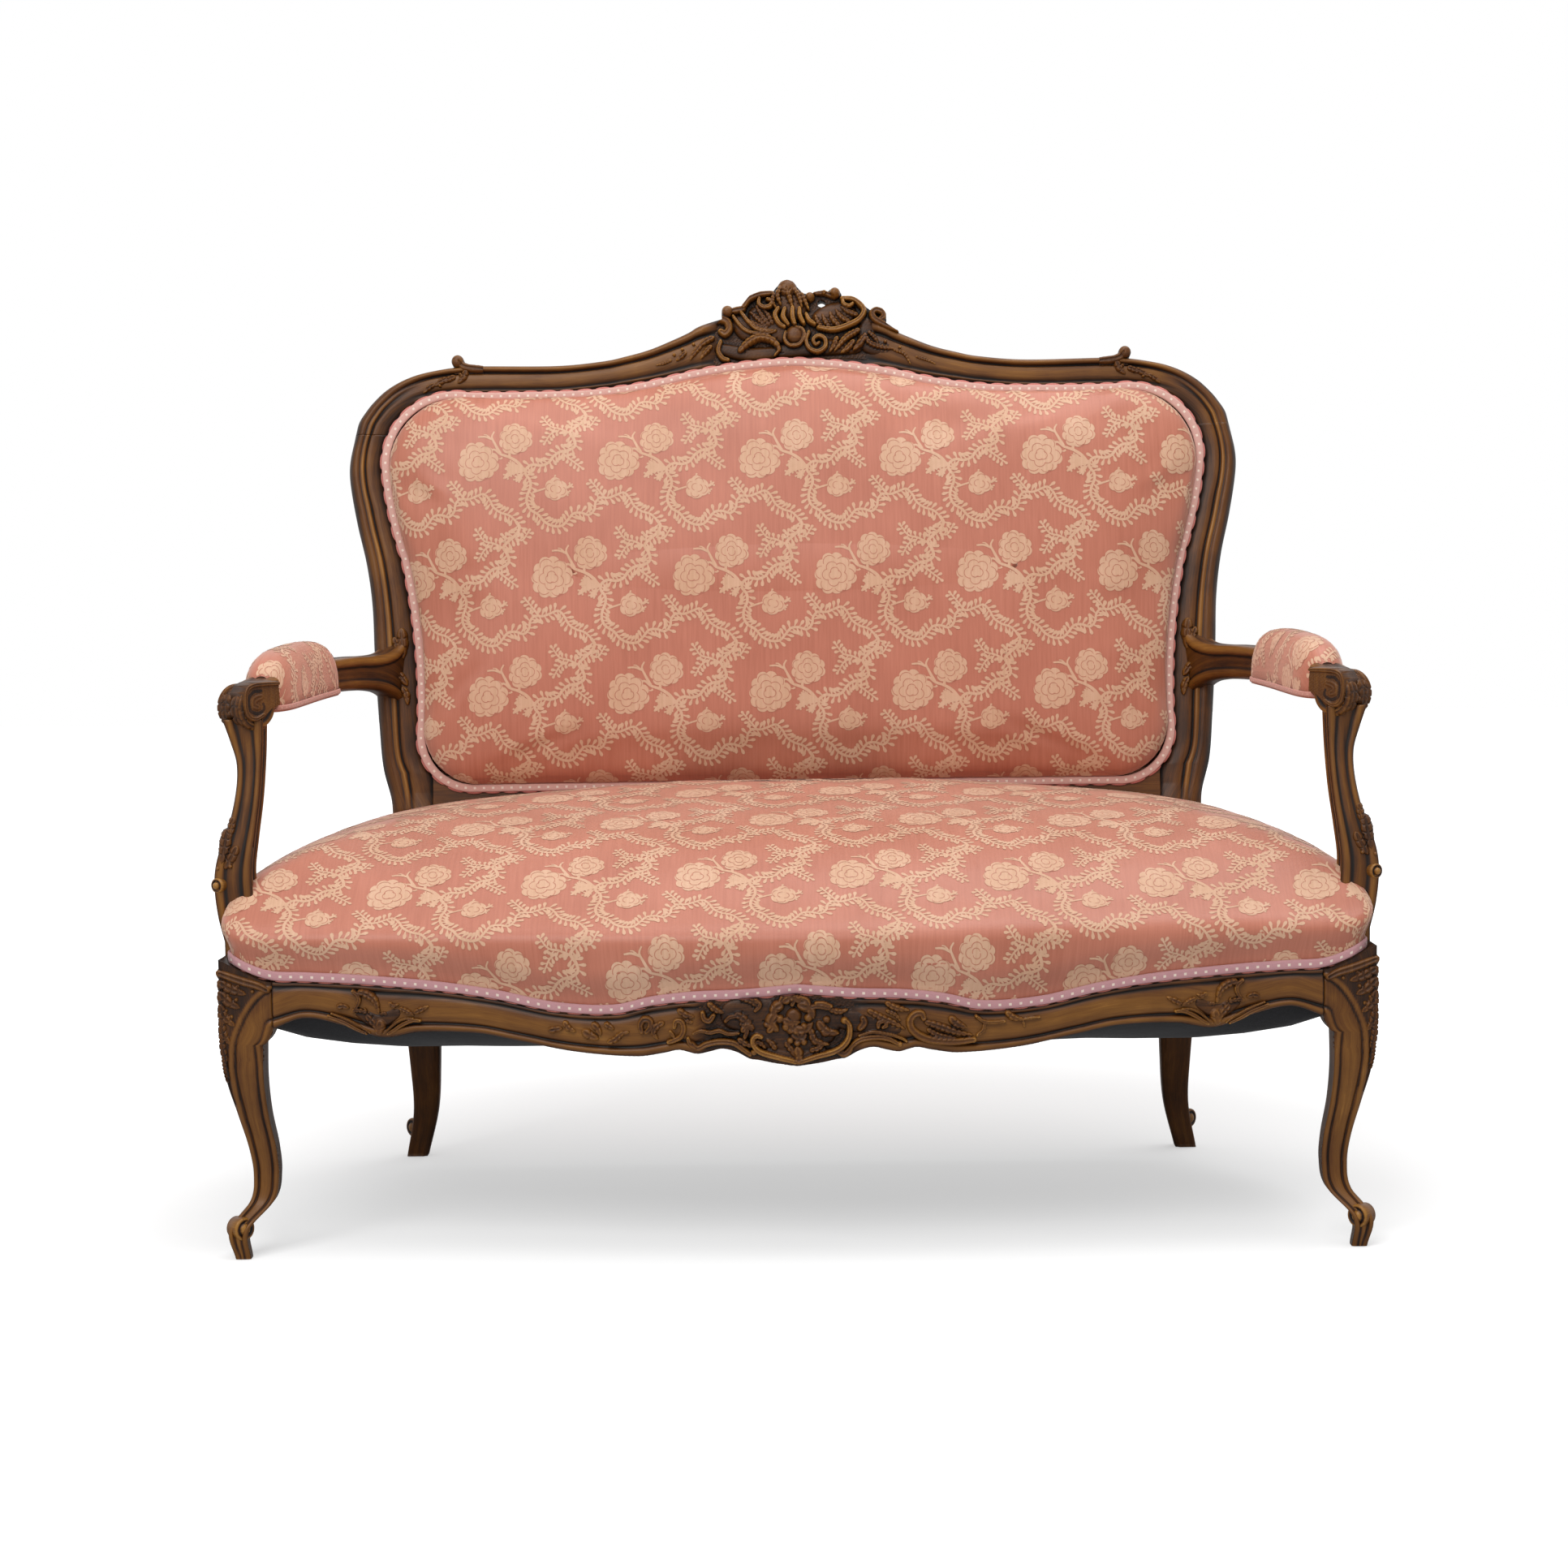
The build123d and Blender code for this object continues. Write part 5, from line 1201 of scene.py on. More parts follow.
postCut = [("leaf", 9, 1.8, .0, [(630, 470), (633, 452), (636, 436)]),
           ("leaf", 8, 1.6, -.02, [(620, 452), (626, 440), (632, 430)]),
           ("leaf", 6, 1.2, .0, [(624, 484), (626, 470), (628, 462)]),
           ("ball", 5, 1.6, .06, [(640, 430), (626, 432)])]
addPair("postHusks", carve(onPost, postCut, -4, 1.6, cell=0.7), facing=frontFacing)
outwards = np.array([0.5, -0.86, 0])
addPair("postVolute", turnedAbout(np.array([637, -244, 411.0]), outwards, 16, 11, button, 28, 0.66))
print("carving made")


# Upholstery
seatPlan = {"rearY": 229, "half": 622.8, "deep": 564, "crown": plan["crownHeight"], "bulge": 16,
            "inFromRail": 6.2, "corner": 20, "sink": 13}


def seatEdge():  # the cloth's edge in plan, from the right-hand rear corner to the middle of the front
    off, bend = seatPlan["inFromRail"], seatPlan["corner"]
    y = np.linspace(seatPlan["rearY"], legRearY, 40)
    t = np.radians(np.linspace(0, 90, 12))
    corner = np.array([seatPlan["half"] - bend, plan["kneeFrontY"] + off + bend])
    x = np.linspace(570, 0, 60)
    return evenly(np.concatenate([np.stack([sideX(y) - off, y], 1),
                                  corner + bend * np.stack([np.cos(t), -np.sin(t)], 1),
                                  np.stack([x, frontY(x) + off], 1)]), 124)


# Rings of the seat: fall from the crown, less than the full half width and depth, roundness
seatRings = [(0, 480, 480, 1), (2, 415, 447, .95), (5, 350, 410, .8), (13, 228, 330, .58),
             (24, 139, 245, .36), (37, 91, 180, .18), (52, 56, 135, .08), (69, 29, 98, .02),
             (86, 11, 70, 0), (101, 4, 46, 0), (113, 1, 24, 0), (122, 0, 10, 0), (132, 0, 2, 0),
             (144, 0, 0, 0), (156, 0, 0, 0), (222, 0, 0, 0)]


def seatLevels():
    fall, narrow, shallow, roundness = np.array(seatRings, float).T
    table = np.stack([seatPlan["crown"] - fall, seatPlan["half"] - narrow, seatPlan["deep"] - shallow,
                      roundness], 1)
    return filledIn(run(table[:, :3] * (1, 0.4, 1)), table, 2)


def seatShape():
    edge = seatEdge()
    w, d, rear = seatPlan["half"], seatPlan["deep"], seatPlan["rearY"]
    x, y = edge.T
    angle = np.arctan2((rear - y) / d, x / w)
    across, back = np.cos(angle), np.sin(angle)
    rings = []
    for z, half, deep, roundness in seatLevels():
        lap = 1.4 * max(0, z - 474)  # the cloth's rear edge goes forward under the back
        rise = np.clip((z - gimpZ(x) - 10.5) / 38, 0, 1)
        out = seatPlan["bulge"] * rise * rise * (3 - 2 * rise)
        wide = x * half / w * (1 - roundness) + half * across * roundness
        away = (rear - y) * deep / d * (1 - roundness) + deep * back * roundness
        sink = seatPlan["sink"] * across ** 12 * np.clip((z - 395) / 50, 0, 1)  # lower at the rear corners
        low = np.maximum(z - sink, gimpZ(x) + 0.5)
        rings.append(bothHalves(np.stack([wide + out * across, rear - lap - away - out * back, low], 1)))
    rings = np.array(rings)
    step = np.diff(rings, axis=0)
    way = unit(np.gradient(edge, axis=0))
    direction = bothHalves(np.abs(way[:, ::-1]))
    level = np.hypot(step[..., 0], step[..., 1]) * np.sign((step[..., :2] * direction * (1, -1)).sum(-1))
    spare = np.cumsum(np.linalg.norm(step, axis=2) - level, 0)
    spare = np.concatenate([np.zeros((1, spare.shape[1])), spare], 0)
    uv = np.stack([rings[..., 0], -rings[..., 1]], -1) + spare[..., None] * direction
    rows, columns = rings.shape[:2]
    faces = gridFaces(rows, columns)
    faces += [[j, j + 1, columns - 2 - j, columns - 1 - j] for j in range(columns // 2)]
    return rings.reshape(-1, 3), faces, uv.reshape(-1, 2), rows, columns


# The back's outline as arcs through three points (x, z), from the middle of the top to that of the foot
edgeArcs = [((0, 1010), (74, 1004), (150, 990)), ((150, 990), (218, 977), (300, 972)),
            ((300, 972), (355, 971.5), (410, 972)), ((410, 972), (495, 946), (522, 880)),
            ((522, 880), (513, 820), (496, 760)), ((496, 760), (481, 670), (476, 552)),
            ((476, 552), (463, 497), (410, 468)), ((410, 468), (205, 468.5), (0, 468))]


def arc(a, b, c, count):
    a, b, c = (np.array(p, float) for p in (a, b, c))
    (ax, az), (bx, bz), (cx, cz) = a, b, c
    twice = 2 * (ax * (bz - cz) + bx * (cz - az) + cx * (az - bz))
    x = ((a @ a) * (bz - cz) + (b @ b) * (cz - az) + (c @ c) * (az - bz)) / twice
    z = ((a @ a) * (cx - bx) + (b @ b) * (ax - cx) + (c @ c) * (bx - ax)) / twice
    middle = np.array([x, z])
    turn = np.unwrap([np.arctan2(*(p - middle)[::-1]) for p in (a, b, c)])
    sweep = np.linspace(turn[0], turn[2], count)
    return middle + np.linalg.norm(a - middle) * np.stack([np.cos(sweep), np.sin(sweep)], 1)


def backEdge(count=248):  # the back's cloth edge all the way round, from the middle of the top
    right = np.concatenate([arc(*spots, 40)[:-1] for spots in edgeArcs] + [edgeArcs[-1][-1:]])
    whole = bothHalves(right, closed=True)
    return evenly(np.concatenate([whole, whole[:1]]), count + 1)[:-1]


def drawnIn(edge, inset):  # the outline drawn in, and rounded to a long oval by the middle
    turn = np.linspace(0, 2 * pi, len(edge), endpoint=False)
    oval = np.stack([280 * np.sin(turn), plan["backCentreZ"] + 28 * np.cos(turn)], 1)
    rounded = np.clip((inset - 60) / 183, 0, 1) ** 1.5
    smaller = edge * (1 - inset / 522, 1 - inset / 271) + (0, plan["backCentreZ"] * inset / 271)
    return smaller * (1 - rounded) + oval * rounded


# Rings of the back: how far they are drawn in, and how far they stand out from the frame
backRings = [(11.3, .5), (11.3, 6), (12.3, 11), (15.3, 17), (22.3, 23), (35.3, 28.5), (56.3, 33),
             (86.3, 37), (126.3, 40), (181.3, 42), (243.3, 42.6)]


def backShape():
    edge = backEdge()
    rings, flat = [], []
    for inset, out in filledIn(run(np.array(backRings)), backRings, 3):
        flat.append(drawnIn(edge, inset))
        rings.append(onBack(*flat[-1].T, out))
    rings, flat = np.array(rings), np.array(flat)
    step = np.linalg.norm(np.diff(rings, axis=0), axis=2)
    level = np.hypot(*np.diff(flat, axis=0).transpose(2, 0, 1))
    spare = np.cumsum((step - level)[::-1], 0)[::-1]
    spare = np.concatenate([spare, np.zeros((1, spare.shape[1]))], 0)
    u, v = (flat + spare[..., None] * outwardsOf(edge, backCentre)).transpose(2, 0, 1)
    uv = np.stack([u, (876 - v) / cos(lean)], -1)
    rows, columns = rings.shape[:2]
    faces = gridFaces(rows, columns, ring=True)
    last, half = (rows - 1) * columns, columns // 2
    for j in range(half // 2):
        for a, b in ((j, half - j), (half + j, columns - j)):
            face = [last + a, last + a + 1, last + (b - 1) % columns, last + b % columns]
            faces.append(face if a + 1 < b - 1 else face[:2] + face[3:])
    return rings.reshape(-1, 3), faces, uv.reshape(-1, 2), rows, columns


def endToEnd(rows, columns):  # a face from the last column of a grid to the first in each row
    return [[i * columns, (i + 1) * columns, (i + 2) * columns - 1, (i + 1) * columns - 1]
            for i in range(rows - 1)]


padPlan = {"long": 262, "middle": -2, "rise": 26, "wide": 21, "swell": 8}


def padShape():
    t = np.sin(np.linspace(-pi / 2, pi / 2, 46)) * 0.999
    y = padPlan["middle"] + t * padPlan["long"] / 2
    swell = np.sqrt(1 - t ** 4)
    end = (1 - np.abs(t) ** 9) ** 0.5
    x, low, top = (along(armPath[k], y) for k in ("x", "low", "top"))
    low = low - 1
    top = top + 1 + (padPlan["rise"] - 1) * swell * end
    wide = (padPlan["wide"] + padPlan["swell"] * swell) * (0.55 + 0.45 * end)
    turn = np.linspace(0, pi, 25)
    side = np.sign(np.cos(turn)) * np.abs(np.cos(turn)) ** 0.8
    rings = xyz(x[:, None] + wide[:, None] * side, y[:, None],
                low[:, None] + (top - low)[:, None] * np.sin(turn) ** 0.62)
    rows, columns = rings.shape[:2]
    across = np.cumsum(np.linalg.norm(np.diff(rings, axis=1), axis=2), 1)
    across = np.concatenate([np.zeros((rows, 1)), across], 1)
    across -= across[:, -1:] / 2
    uv = xyz(across, -run(rings[:, 12])[:, None], 0)[..., :2]
    faces = gridFaces(rows, columns) + [cap(0, columns), cap(rows - 1, columns)] + endToEnd(rows, columns)
    return rings.reshape(-1, 3), faces, uv.reshape(-1, 2), rows, columns


coverLook = {"frames": 20, "quality": 5, "mass": 0.3, "stretch": 25, "shear": 12, "bend": 1.5}


def settle(piece, held, most, pressure):
    # the cover swells a little over its filling; its nailed edge stays, and no point moves over most mm
    group = piece.vertex_groups.new(name="nailed")
    group.add([int(k) for k in held], 1.0, "REPLACE")
    modifier = piece.modifiers.new("Cover", "CLOTH")
    rules = modifier.settings
    rules.quality = coverLook["quality"]
    rules.mass = coverLook["mass"]
    rules.use_pressure = True
    rules.uniform_pressure_force = pressure
    rules.tension_stiffness = rules.compression_stiffness = coverLook["stretch"]
    rules.shear_stiffness = coverLook["shear"]
    rules.bending_stiffness = coverLook["bend"]
    rules.vertex_group_mass = "nailed"
    rules.effector_weights.gravity = 0
    modifier.collision_settings.use_collision = False
    scene = bpy.context.scene
    for step in range(1, coverLook["frames"] + 1):
        scene.frame_set(step)
    shaped = piece.evaluated_get(bpy.context.evaluated_depsgraph_get()).data
    after, before = np.zeros(len(shaped.vertices) * 3), np.zeros(len(shaped.vertices) * 3)
    shaped.vertices.foreach_get("co", after)
    piece.data.vertices.foreach_get("co", before)
    move = (after - before).reshape(-1, 3)
    size = np.linalg.norm(move, axis=1, keepdims=True)
    reach = most / 1000
    move *= reach * np.tanh(size / reach) / np.maximum(size, 1e-9)
    piece.modifiers.remove(modifier)
    piece.vertex_groups.clear()
    piece.data.vertices.foreach_set("co", (before.reshape(-1, 3) + move).ravel())
    piece.data.update()
    scene.frame_set(1)
    print(piece.name, "settled, most", round(float(size.max()) * 1000, 1), "mm before the cap")


# Damask figure, one repeat: a leafed vine with sprays, a leaf cluster, a bud, and a large and a small rose.
# It is drawn down the cloth in smaller units. A bloom is (middle, radius, petals, folds), and its folds are
# (how many, radius they lie at, their own radius, turn, sweep in degrees).
figureLook = {
    "unit": 0.2335,  # mm
    "across": (177.0, 0.0),  # mm from one repeat to the next
    "down": (93.7, 150.0),
    "stem": 17,
    "leafStep": 25,
    "leafLong": 42,
    "leafWide": 18,
    "lift": 0.3,  # mm above the ground
    "layer": 0.004,  # mm more for each part, so that none lies in another
}
vine = [(760, 62), (779, 95), (764, 130), (722, 168), (694, 202), (716, 244), (722, 284), (688, 308),
        (640, 318), (604, 346), (580, 378), (540, 393), (494, 388), (462, 408), (456, 440), (480, 475),
        (482, 515), (464, 560), (462, 602), (482, 640), (524, 668), (558, 708), (606, 732), (652, 730),
        (684, 698), (714, 664), (756, 660), (798, 672), (826, 645), (834, 602), (858, 578), (904, 578),
        (945, 563), (985, 550), (1016, 580), (1040, 625), (1080, 655), (1128, 672), (1161, 704)]
sprays = [[(690, 205), (640, 180), (590, 165), (550, 112)], [(625, 190), (590, 215), (562, 262)],
          [(755, 155), (795, 165), (828, 118)], [(700, 175), (706, 138)],
          [(655, 325), (700, 362), (758, 408)], [(880, 575), (842, 525), (812, 488)]]
stems = [([(492, 545), (530, 532), (575, 518)], 11, 9),
         ([(452, 425), (415, 375), (370, 345), (318, 325), (288, 300), (262, 303)], 20, 11),
         ([(368, 345), (372, 300), (380, 270)], 15, 12),
         ([(318, 322), (288, 265), (272, 225), (286, 195)], 17, 8),
         ([(275, 240), (235, 225), (196, 226)], 14, 9), ([(330, 345), (322, 352), (310, 352)], 12, 6),
         ([(262, 235), (245, 215), (228, 212)], 10, 5)]
clusters = [([(440, 432), (395, 398), (342, 412)], 34), ([(425, 425), (382, 428), (335, 466)], 30),
            ([(440, 440), (415, 462), (404, 484)], 26), ([(405, 405), (372, 382), (362, 372)], 20),
            ([(680, 522), (712, 498)], 16), ([(672, 540), (694, 552)], 14), ([(600, 470), (626, 462)], 14)]
blooms = [((195, 370), 114, 11, [(6, .62, .3, .1, 170), (5, .34, .26, .4, 180), (3, .1, .2, .2, 200)]),
          ((400, 240), 92, 10, [(6, .6, .3, .3, 160), (4, .3, .28, 0, 180), (2, .08, .2, .4, 200)]),
          ((620, 527), 64, 6, [(4, .5, .36, .2, 160), (2, .15, .3, .1, 180)])]


def stripFaces(count):  # between a line of points and the same line's other side, listed after it
    return [[i, i + 1, count + i + 1, count + i] for i in range(count - 1)]


def ribbon(path, wide, last=None, step=11, line=0):  # its part, and the line and direction along its middle
    middle = smoothPath(path, max(2, int(run(np.array(path, float))[-1] / step) + 1))
    way = unit(np.gradient(middle, axis=0))
    half = leftOf(way) * np.linspace(wide, wide if last is None else last, len(middle))[:, None] / 2
    return (np.concatenate([middle - half, middle + half]), stripFaces(len(middle)), line), middle, way


def leaf(root, way, long, wide):
    shape = [(0, .3), (.3, .55), (.62, 1), (.88, .8), (1, 0), (.88, -.8), (.62, -1), (.3, -.55), (0, -.3)]
    side = leftOf(way)
    return np.array([root + way * long * a + side * wide / 2 * b for a, b in shape]), [list(range(9))], 0


def leafed(path, stem, long, wide, first=14):  # a stem with leaves by turns on its two sides
    part, line, way = ribbon(path, stem, stem * 0.7)
    parts, place = [part], run(line)
    for at in np.arange(first, place[-1], figureLook["leafStep"]):
        for hand, spot in ((-1, at), (1, at + figureLook["leafStep"] / 2)):
            if spot <= place[-1] - 3:
                root = np.array([np.interp(spot, place, column) for column in line.T])
                ahead = unit(np.array([np.interp(spot, place, column) for column in way.T]))
                out = leftOf(ahead) * hand
                parts.append(leaf(root + out * stem * 0.34, unit(ahead * 0.45 + out), long, wide))
    return parts


def spray(path):
    start, end = np.array(path[-2:], float)
    way = unit(end - start)
    return leafed(path, 12, 31, 17, 6) + [leaf(end - way * 8, way, 28, 16)]


def cluster(path, wide):  # a broad leaf with small ones along its edges
    line = smoothPath(path, 9 if len(path) > 2 else 5)
    way = unit(np.gradient(line, axis=0))
    side, n = leftOf(way), len(line)
    half = wide / 2 * np.sin(np.linspace(0.5, pi - 0.15, n))[:, None] ** 0.7
    parts = [(np.concatenate([line - side * half, line + side * half]), stripFaces(n), 0)]
    return parts + [leaf(line[k] + side[k] * half[k] * hand * .7, unit(way[k] + side[k] * hand), 17, 11)
                    for k in range(2, n - 1, 2) for hand in (-1, 1)]


def rose(centre, radius, petals, folds):
    # a scalloped disc, with the edges of its petals drawn on it in the ground's satin
    turn = np.linspace(0, 2 * pi, petals * 6, endpoint=False)
    scallop = np.abs(np.sin(turn * petals / 2)) ** 0.6
    edge = radius * (0.88 + 0.12 * scallop) * (1 + 0.05 * np.sin(3 * turn + 1))
    rim = centre + edge[:, None] * np.stack([np.cos(turn), np.sin(turn)], 1)
    n = len(turn)
    parts = [(np.concatenate([centre + (rim - centre) * f for f in (1, .72, .45, .2)]),
              gridFaces(4, n, ring=True) + [cap(3, n)], 0)]
    for count, away, size, phase, sweep in folds:
        for k in range(count):
            at = 2 * pi * (k + phase) / count
            middle = np.array(centre) + radius * away * np.array([cos(at), sin(at)])
            t = at + np.radians(np.linspace(-sweep / 2, sweep / 2, 9))
            fold = middle + radius * size * np.stack([np.cos(t), np.sin(t)], 1)
            parts.append(ribbon(fold, 3.6, 2.4, radius * size * .3, 1)[0])
    return parts


def figureParts():  # (points in mm, faces, 1 for a line in the ground's satin) of each leaf, stem and petal
    parts = leafed(vine, *(figureLook[k] for k in ("stem", "leafLong", "leafWide")))
    for path in sprays:
        parts += spray(path)
    parts += [ribbon(path, wide, last)[0] for path, wide, last in stems]
    for path, wide in clusters:
        parts += cluster(path, wide)
    for centre, radius, petals, folds in blooms:
        parts += rose(np.array(centre, float), radius, petals, folds)
    drawn = []
    for spots, cells, line in parts:
        spots = spots * figureLook["unit"]
        turns = [np.cross(spots[c[1]] - spots[c[0]], spots[c[2]] - spots[c[0]]) for c in cells]
        drawn.append((spots, [c if turn < 0 else c[::-1] for c, turn in zip(cells, turns)], line))
    return drawn


def extent(points):
    return np.linalg.norm(np.ptp(points, axis=0))


def figureOn(name, cushion, uv, faces, middle, reach, stretch=1.0):
    # the figure laid on a cushion: found in its flat cloth, then put at the same place on its surface
    mesh = cushion.data
    places, normals = np.zeros(len(mesh.vertices) * 3), np.zeros(len(mesh.vertices) * 3)
    mesh.vertices.foreach_get("co", places)
    mesh.vertex_normals.foreach_get("vector", normals)
    places, normals = places.reshape(-1, 3) * 1000, normals.reshape(-1, 3)
    triangles = np.array([t for f in faces for t in ([f[:3]] if len(f) == 3 else [f[:3], f[2:] + f[:1]])])
    facing = (normals.sum(0) / np.linalg.norm(normals.sum(0))).tolist()
    tree = BVHTree.FromPolygons(np.c_[uv, np.zeros(len(uv))].tolist(), triangles.tolist())
    across, down = (np.array(figureLook[k]) * (stretch, 1) for k in ("across", "down"))
    points, polygons, cloth, kinds, base = [], [], [], [], 0
    for i, j, part in np.ndindex(13, 11, len(figureDrawn)):
        shape, cells, line = figureDrawn[part]
        spots = shape * (stretch, 1) + ((i - 6) * across + (j - 5) * down + middle)
        if np.abs(spots[0]).max() > reach:
            continue
        hits = [tree.ray_cast(Vector((u, v, 5)), Vector((0, 0, -1)))[2] for u, v in spots]
        held = np.array([hit is not None for hit in hits])
        if not held.any():
            continue
        corner = triangles[[hit or 0 for hit in hits]]
        a, b, c = (uv[corner[:, k]] for k in range(3))
        (bu, bv), (cu, cv), (su, sv) = (b - a).T, (c - a).T, (spots - a).T
        area = bu * cv - bv * cu
        area = np.where(np.abs(area) < 1e-9, 1e-9, area)
        shareB, shareC = (su * cv - sv * cu) / area, (bu * sv - bv * su) / area
        weight = np.stack([1 - shareB - shareC, shareB, shareC], 1)[..., None]
        place = (places[corner] * weight).sum(1)
        up = (normals[corner] * weight).sum(1)
        up[np.linalg.norm(up, axis=1) < 0.6] = facing
        up = unit(up)
        kept = [cell for cell in cells if held[cell].all() and extent(place[cell]) < 2 * extent(spots[cell])]
        if not kept:
            continue
        used = np.unique(np.concatenate(kept))
        number = dict(zip(used.tolist(), range(base, base + len(used))))
        lift = figureLook["lift"] * (1.7 if line else 1) + figureLook["layer"] * (part % 40)
        points.append(place[used] + up[used] * lift)
        cloth.append(spots[used])
        polygons += [[number[k] for k in cell] for cell in kept]
        kinds += [line] * len(kept)
        base += len(used)
    shape = np.concatenate(points) + (0, shiftY, 0), polygons, None, np.concatenate(cloth) / 1000
    piece = addPiece(name, shape, creamFigure, facing=facing)
    piece.data.materials.append(satinGround)
    piece.data.polygons.foreach_set("material_index", kinds)


figureDrawn = figureParts()
roseAt = np.array(blooms[0][0]) * figureLook["unit"]
seatStretch = 0.966

points, faces, uv, rows, columns = seatShape()
seat = addPiece("seatCushion", (points, faces + endToEnd(rows, columns), None, uv / 1000), satinGround,
                ["seat_cover", "seat_stuffing", "seat_hessian"], (0, -0.3, 1))
nailed = (points[:, 2] < gimpZ(points[:, 0]) + 14) | (points[:, 1] > 200)
settle(seat, np.where(nailed)[0], 5, 1.5)
figureOn("seatFigure", seat, uv, faces, np.array([61.2, 265]) - roseAt * (seatStretch, 1), 900, seatStretch)
print("seat made")

points, faces, uv, rows, columns = backShape()
back = addPiece("backCushion", (points, faces, None, uv / 1000), satinGround,
                ["back_cover", "back_stuffing", "back_hessian"], (0, -1, 0.2))
settle(back, np.arange(3 * columns), 4, 1.0)
figureOn("backFigure", back, uv, faces, np.array([-41.9, 0]) - roseAt, 800)
print("back made")

points, faces, uv, rows, columns = padShape()
edge = np.arange(rows)[:, None] * columns + [0, 1, 2, columns - 3, columns - 2, columns - 1]
nailed = np.unique(np.r_[edge.ravel(), cap(0, columns), cap(rows - 1, columns)])
for side, places, hand in (("right", points, 1), ("left", mirrored(points), -1)):
    flat = uv * (hand, 1)
    pad = addPiece("armPad_" + side, (places, faces, None, flat / 1000), satinGround,
                   ["arm_pad_stuffing_" + side, "arm_pad_cover_" + side])
    settle(pad, nailed, 2, 2.0)
    figureOn("armPadFigure_" + side, pad, flat, faces[:(rows - 1) * (columns - 1)],
             np.array([20.0, -90 + 40 * hand]) - roseAt, 300)
print("pads made")


# Gimps: across the braid, height over the cloth, place in the pattern
braidSection = [(-1, 0, 0), (-1, .6, .06), (-.8, 1, .12), (-.35, 1.1, .3), (.35, 1.1, .7), (.8, 1, .88),
                (1, .6, .94), (1, 0, 1)]
padGrid = points.reshape(rows, columns, 3)


def loopsAlong(name, path, across, out, place):  # cord loops that stand out past the braid's outer edge
    number = int(place[-1] / (gimpLook["pitch"] * 2))
    turn = np.linspace(0, pi, 9)
    wide, reach = np.cos(turn) * gimpLook["loopHalf"], np.sin(turn) ** 0.8 * gimpLook["loopReach"]
    inner = gimpLook["wide"] / 2 * 0.7
    cells = [[i, i + 1, 10 + i, 9 + i] for i in range(8)] + [[9 + i, 10 + i, 18] for i in range(8)]
    parts = []
    for k in range(number):
        at = (k + 0.5) * place[-1] / number
        spot, a, o = (np.array([np.interp(at, place[:len(path)], column) for column in table.T])
                      for table in (path, across, out))
        a, o = unit(a), unit(o)
        rim = spot + a * inner + np.cross(a, o) * wide[:, None] + a * reach[:, None]
        top = spot + a * (inner + 1.5) + o * 1.9
        parts.append((np.concatenate([rim + o * 0.2, rim * 0.75 + top * 0.25 + o * 1.1, [top]]), cells))
    facing = np.mean(out, axis=0)
    if np.linalg.norm(facing) < 0.3:
        facing = (0, -1, 0)
    addPiece(name, joined(parts), braidLoops, facing=facing)


def gimpAlong(name, path, across, out, material, node, look, closed=False, loops=True):
    # a braid on its path: across points to its outer edge and out away from the cloth
    count = len(path)
    side, height, pattern = np.array(braidSection).T
    rings = (path[:, None] + across[:, None] * (side * look["wide"] / 2)[:, None]
             + out[:, None] * (height * look["thick"])[:, None])
    place = run(np.concatenate([path, path[:1]]) if closed else path)
    uv = xyz(place[:count, None] / 1000, pattern, 0)[..., :2]
    if closed:
        rings = np.concatenate([rings, rings[:1]])
        uv = np.concatenate([uv, uv[:1] + (place[-1] / 1000, 0)])
    faces = gridFaces(len(rings), len(braidSection), ring=True)
    addPiece(name, (rings, faces, None, uv), material, [node])
    if loops:
        loopsAlong(name + "Loops", path, across, out, place)


edge = backEdge(640)
outward = outwardsOf(edge, backCentre)
across = np.stack([outward[:, 0], outward[:, 1] * sin(lean), outward[:, 1] * cos(lean)], 1)
for name, inset, lift, hand, node in (
        ("backGimpBraid", 6.0, 1.0, 1, "back_gimp"),
        ("outsideBackGimpBraid", 8.0, -plan["backThick"] * cos(lean) - 2.0, -1, "outside_back_gimp")):
    path = onBack(*(edge - outward * inset).T, lift)
    out = np.tile(hand * backNormal, (len(path), 1))
    gimpAlong(name, path, across, out, litBackBraid, node, litBackGimpLook, closed=True)

edge = evenly(bothHalves(seatEdge())[2:-2], 560)
out = np.c_[outwardsOf(edge, (0, -50), closed=False), np.zeros(len(edge))]
path = np.c_[edge, gimpZ(edge[:, 0]) + 6.4] + out * 0.6
across = np.tile([0.0, 0, -1], (len(path), 1))
gimpAlong("seatGimpBraid", path, across, out, seatBraid, "seat_gimp", gimpLook)

path = np.concatenate([padGrid[3:-3, 0], padGrid[-4:2:-1, -1]]) + (0, 0, 4.5)
path = evenly(np.concatenate([path, path[:1]]), 161)[:-1]
out = np.c_[outwardsOf(path[:, :2], path[:, :2].mean(0)), np.zeros(len(path))]
across = np.tile([0.0, 0, -1], (len(path), 1))
for side, hand in (("right", 1), ("left", -1)):
    flip = (hand, 1, 1)
    gimpAlong("armPadGimpBraid_" + side, (path + out * 0.4) * flip, across, out * flip, padBraid,
              "arm_pad_gimp_" + side, padGimpLook, closed=True, loops=False)
print("gimps made")


edge = backEdge()
rings = [onBack(*drawnIn(edge, inset).T, -plan["backThick"] - 0.9)
         for inset in (4, 30, 70, 120, 170, 220, 243)]
faces = gridFaces(len(rings), len(edge), ring=True) + [cap(len(rings) - 1, len(edge))]
cover = addPiece("outsideBackCloth", (np.concatenate(rings), faces), backLining,
                 ["outside_back_cover"], (0, 1, -0.2))

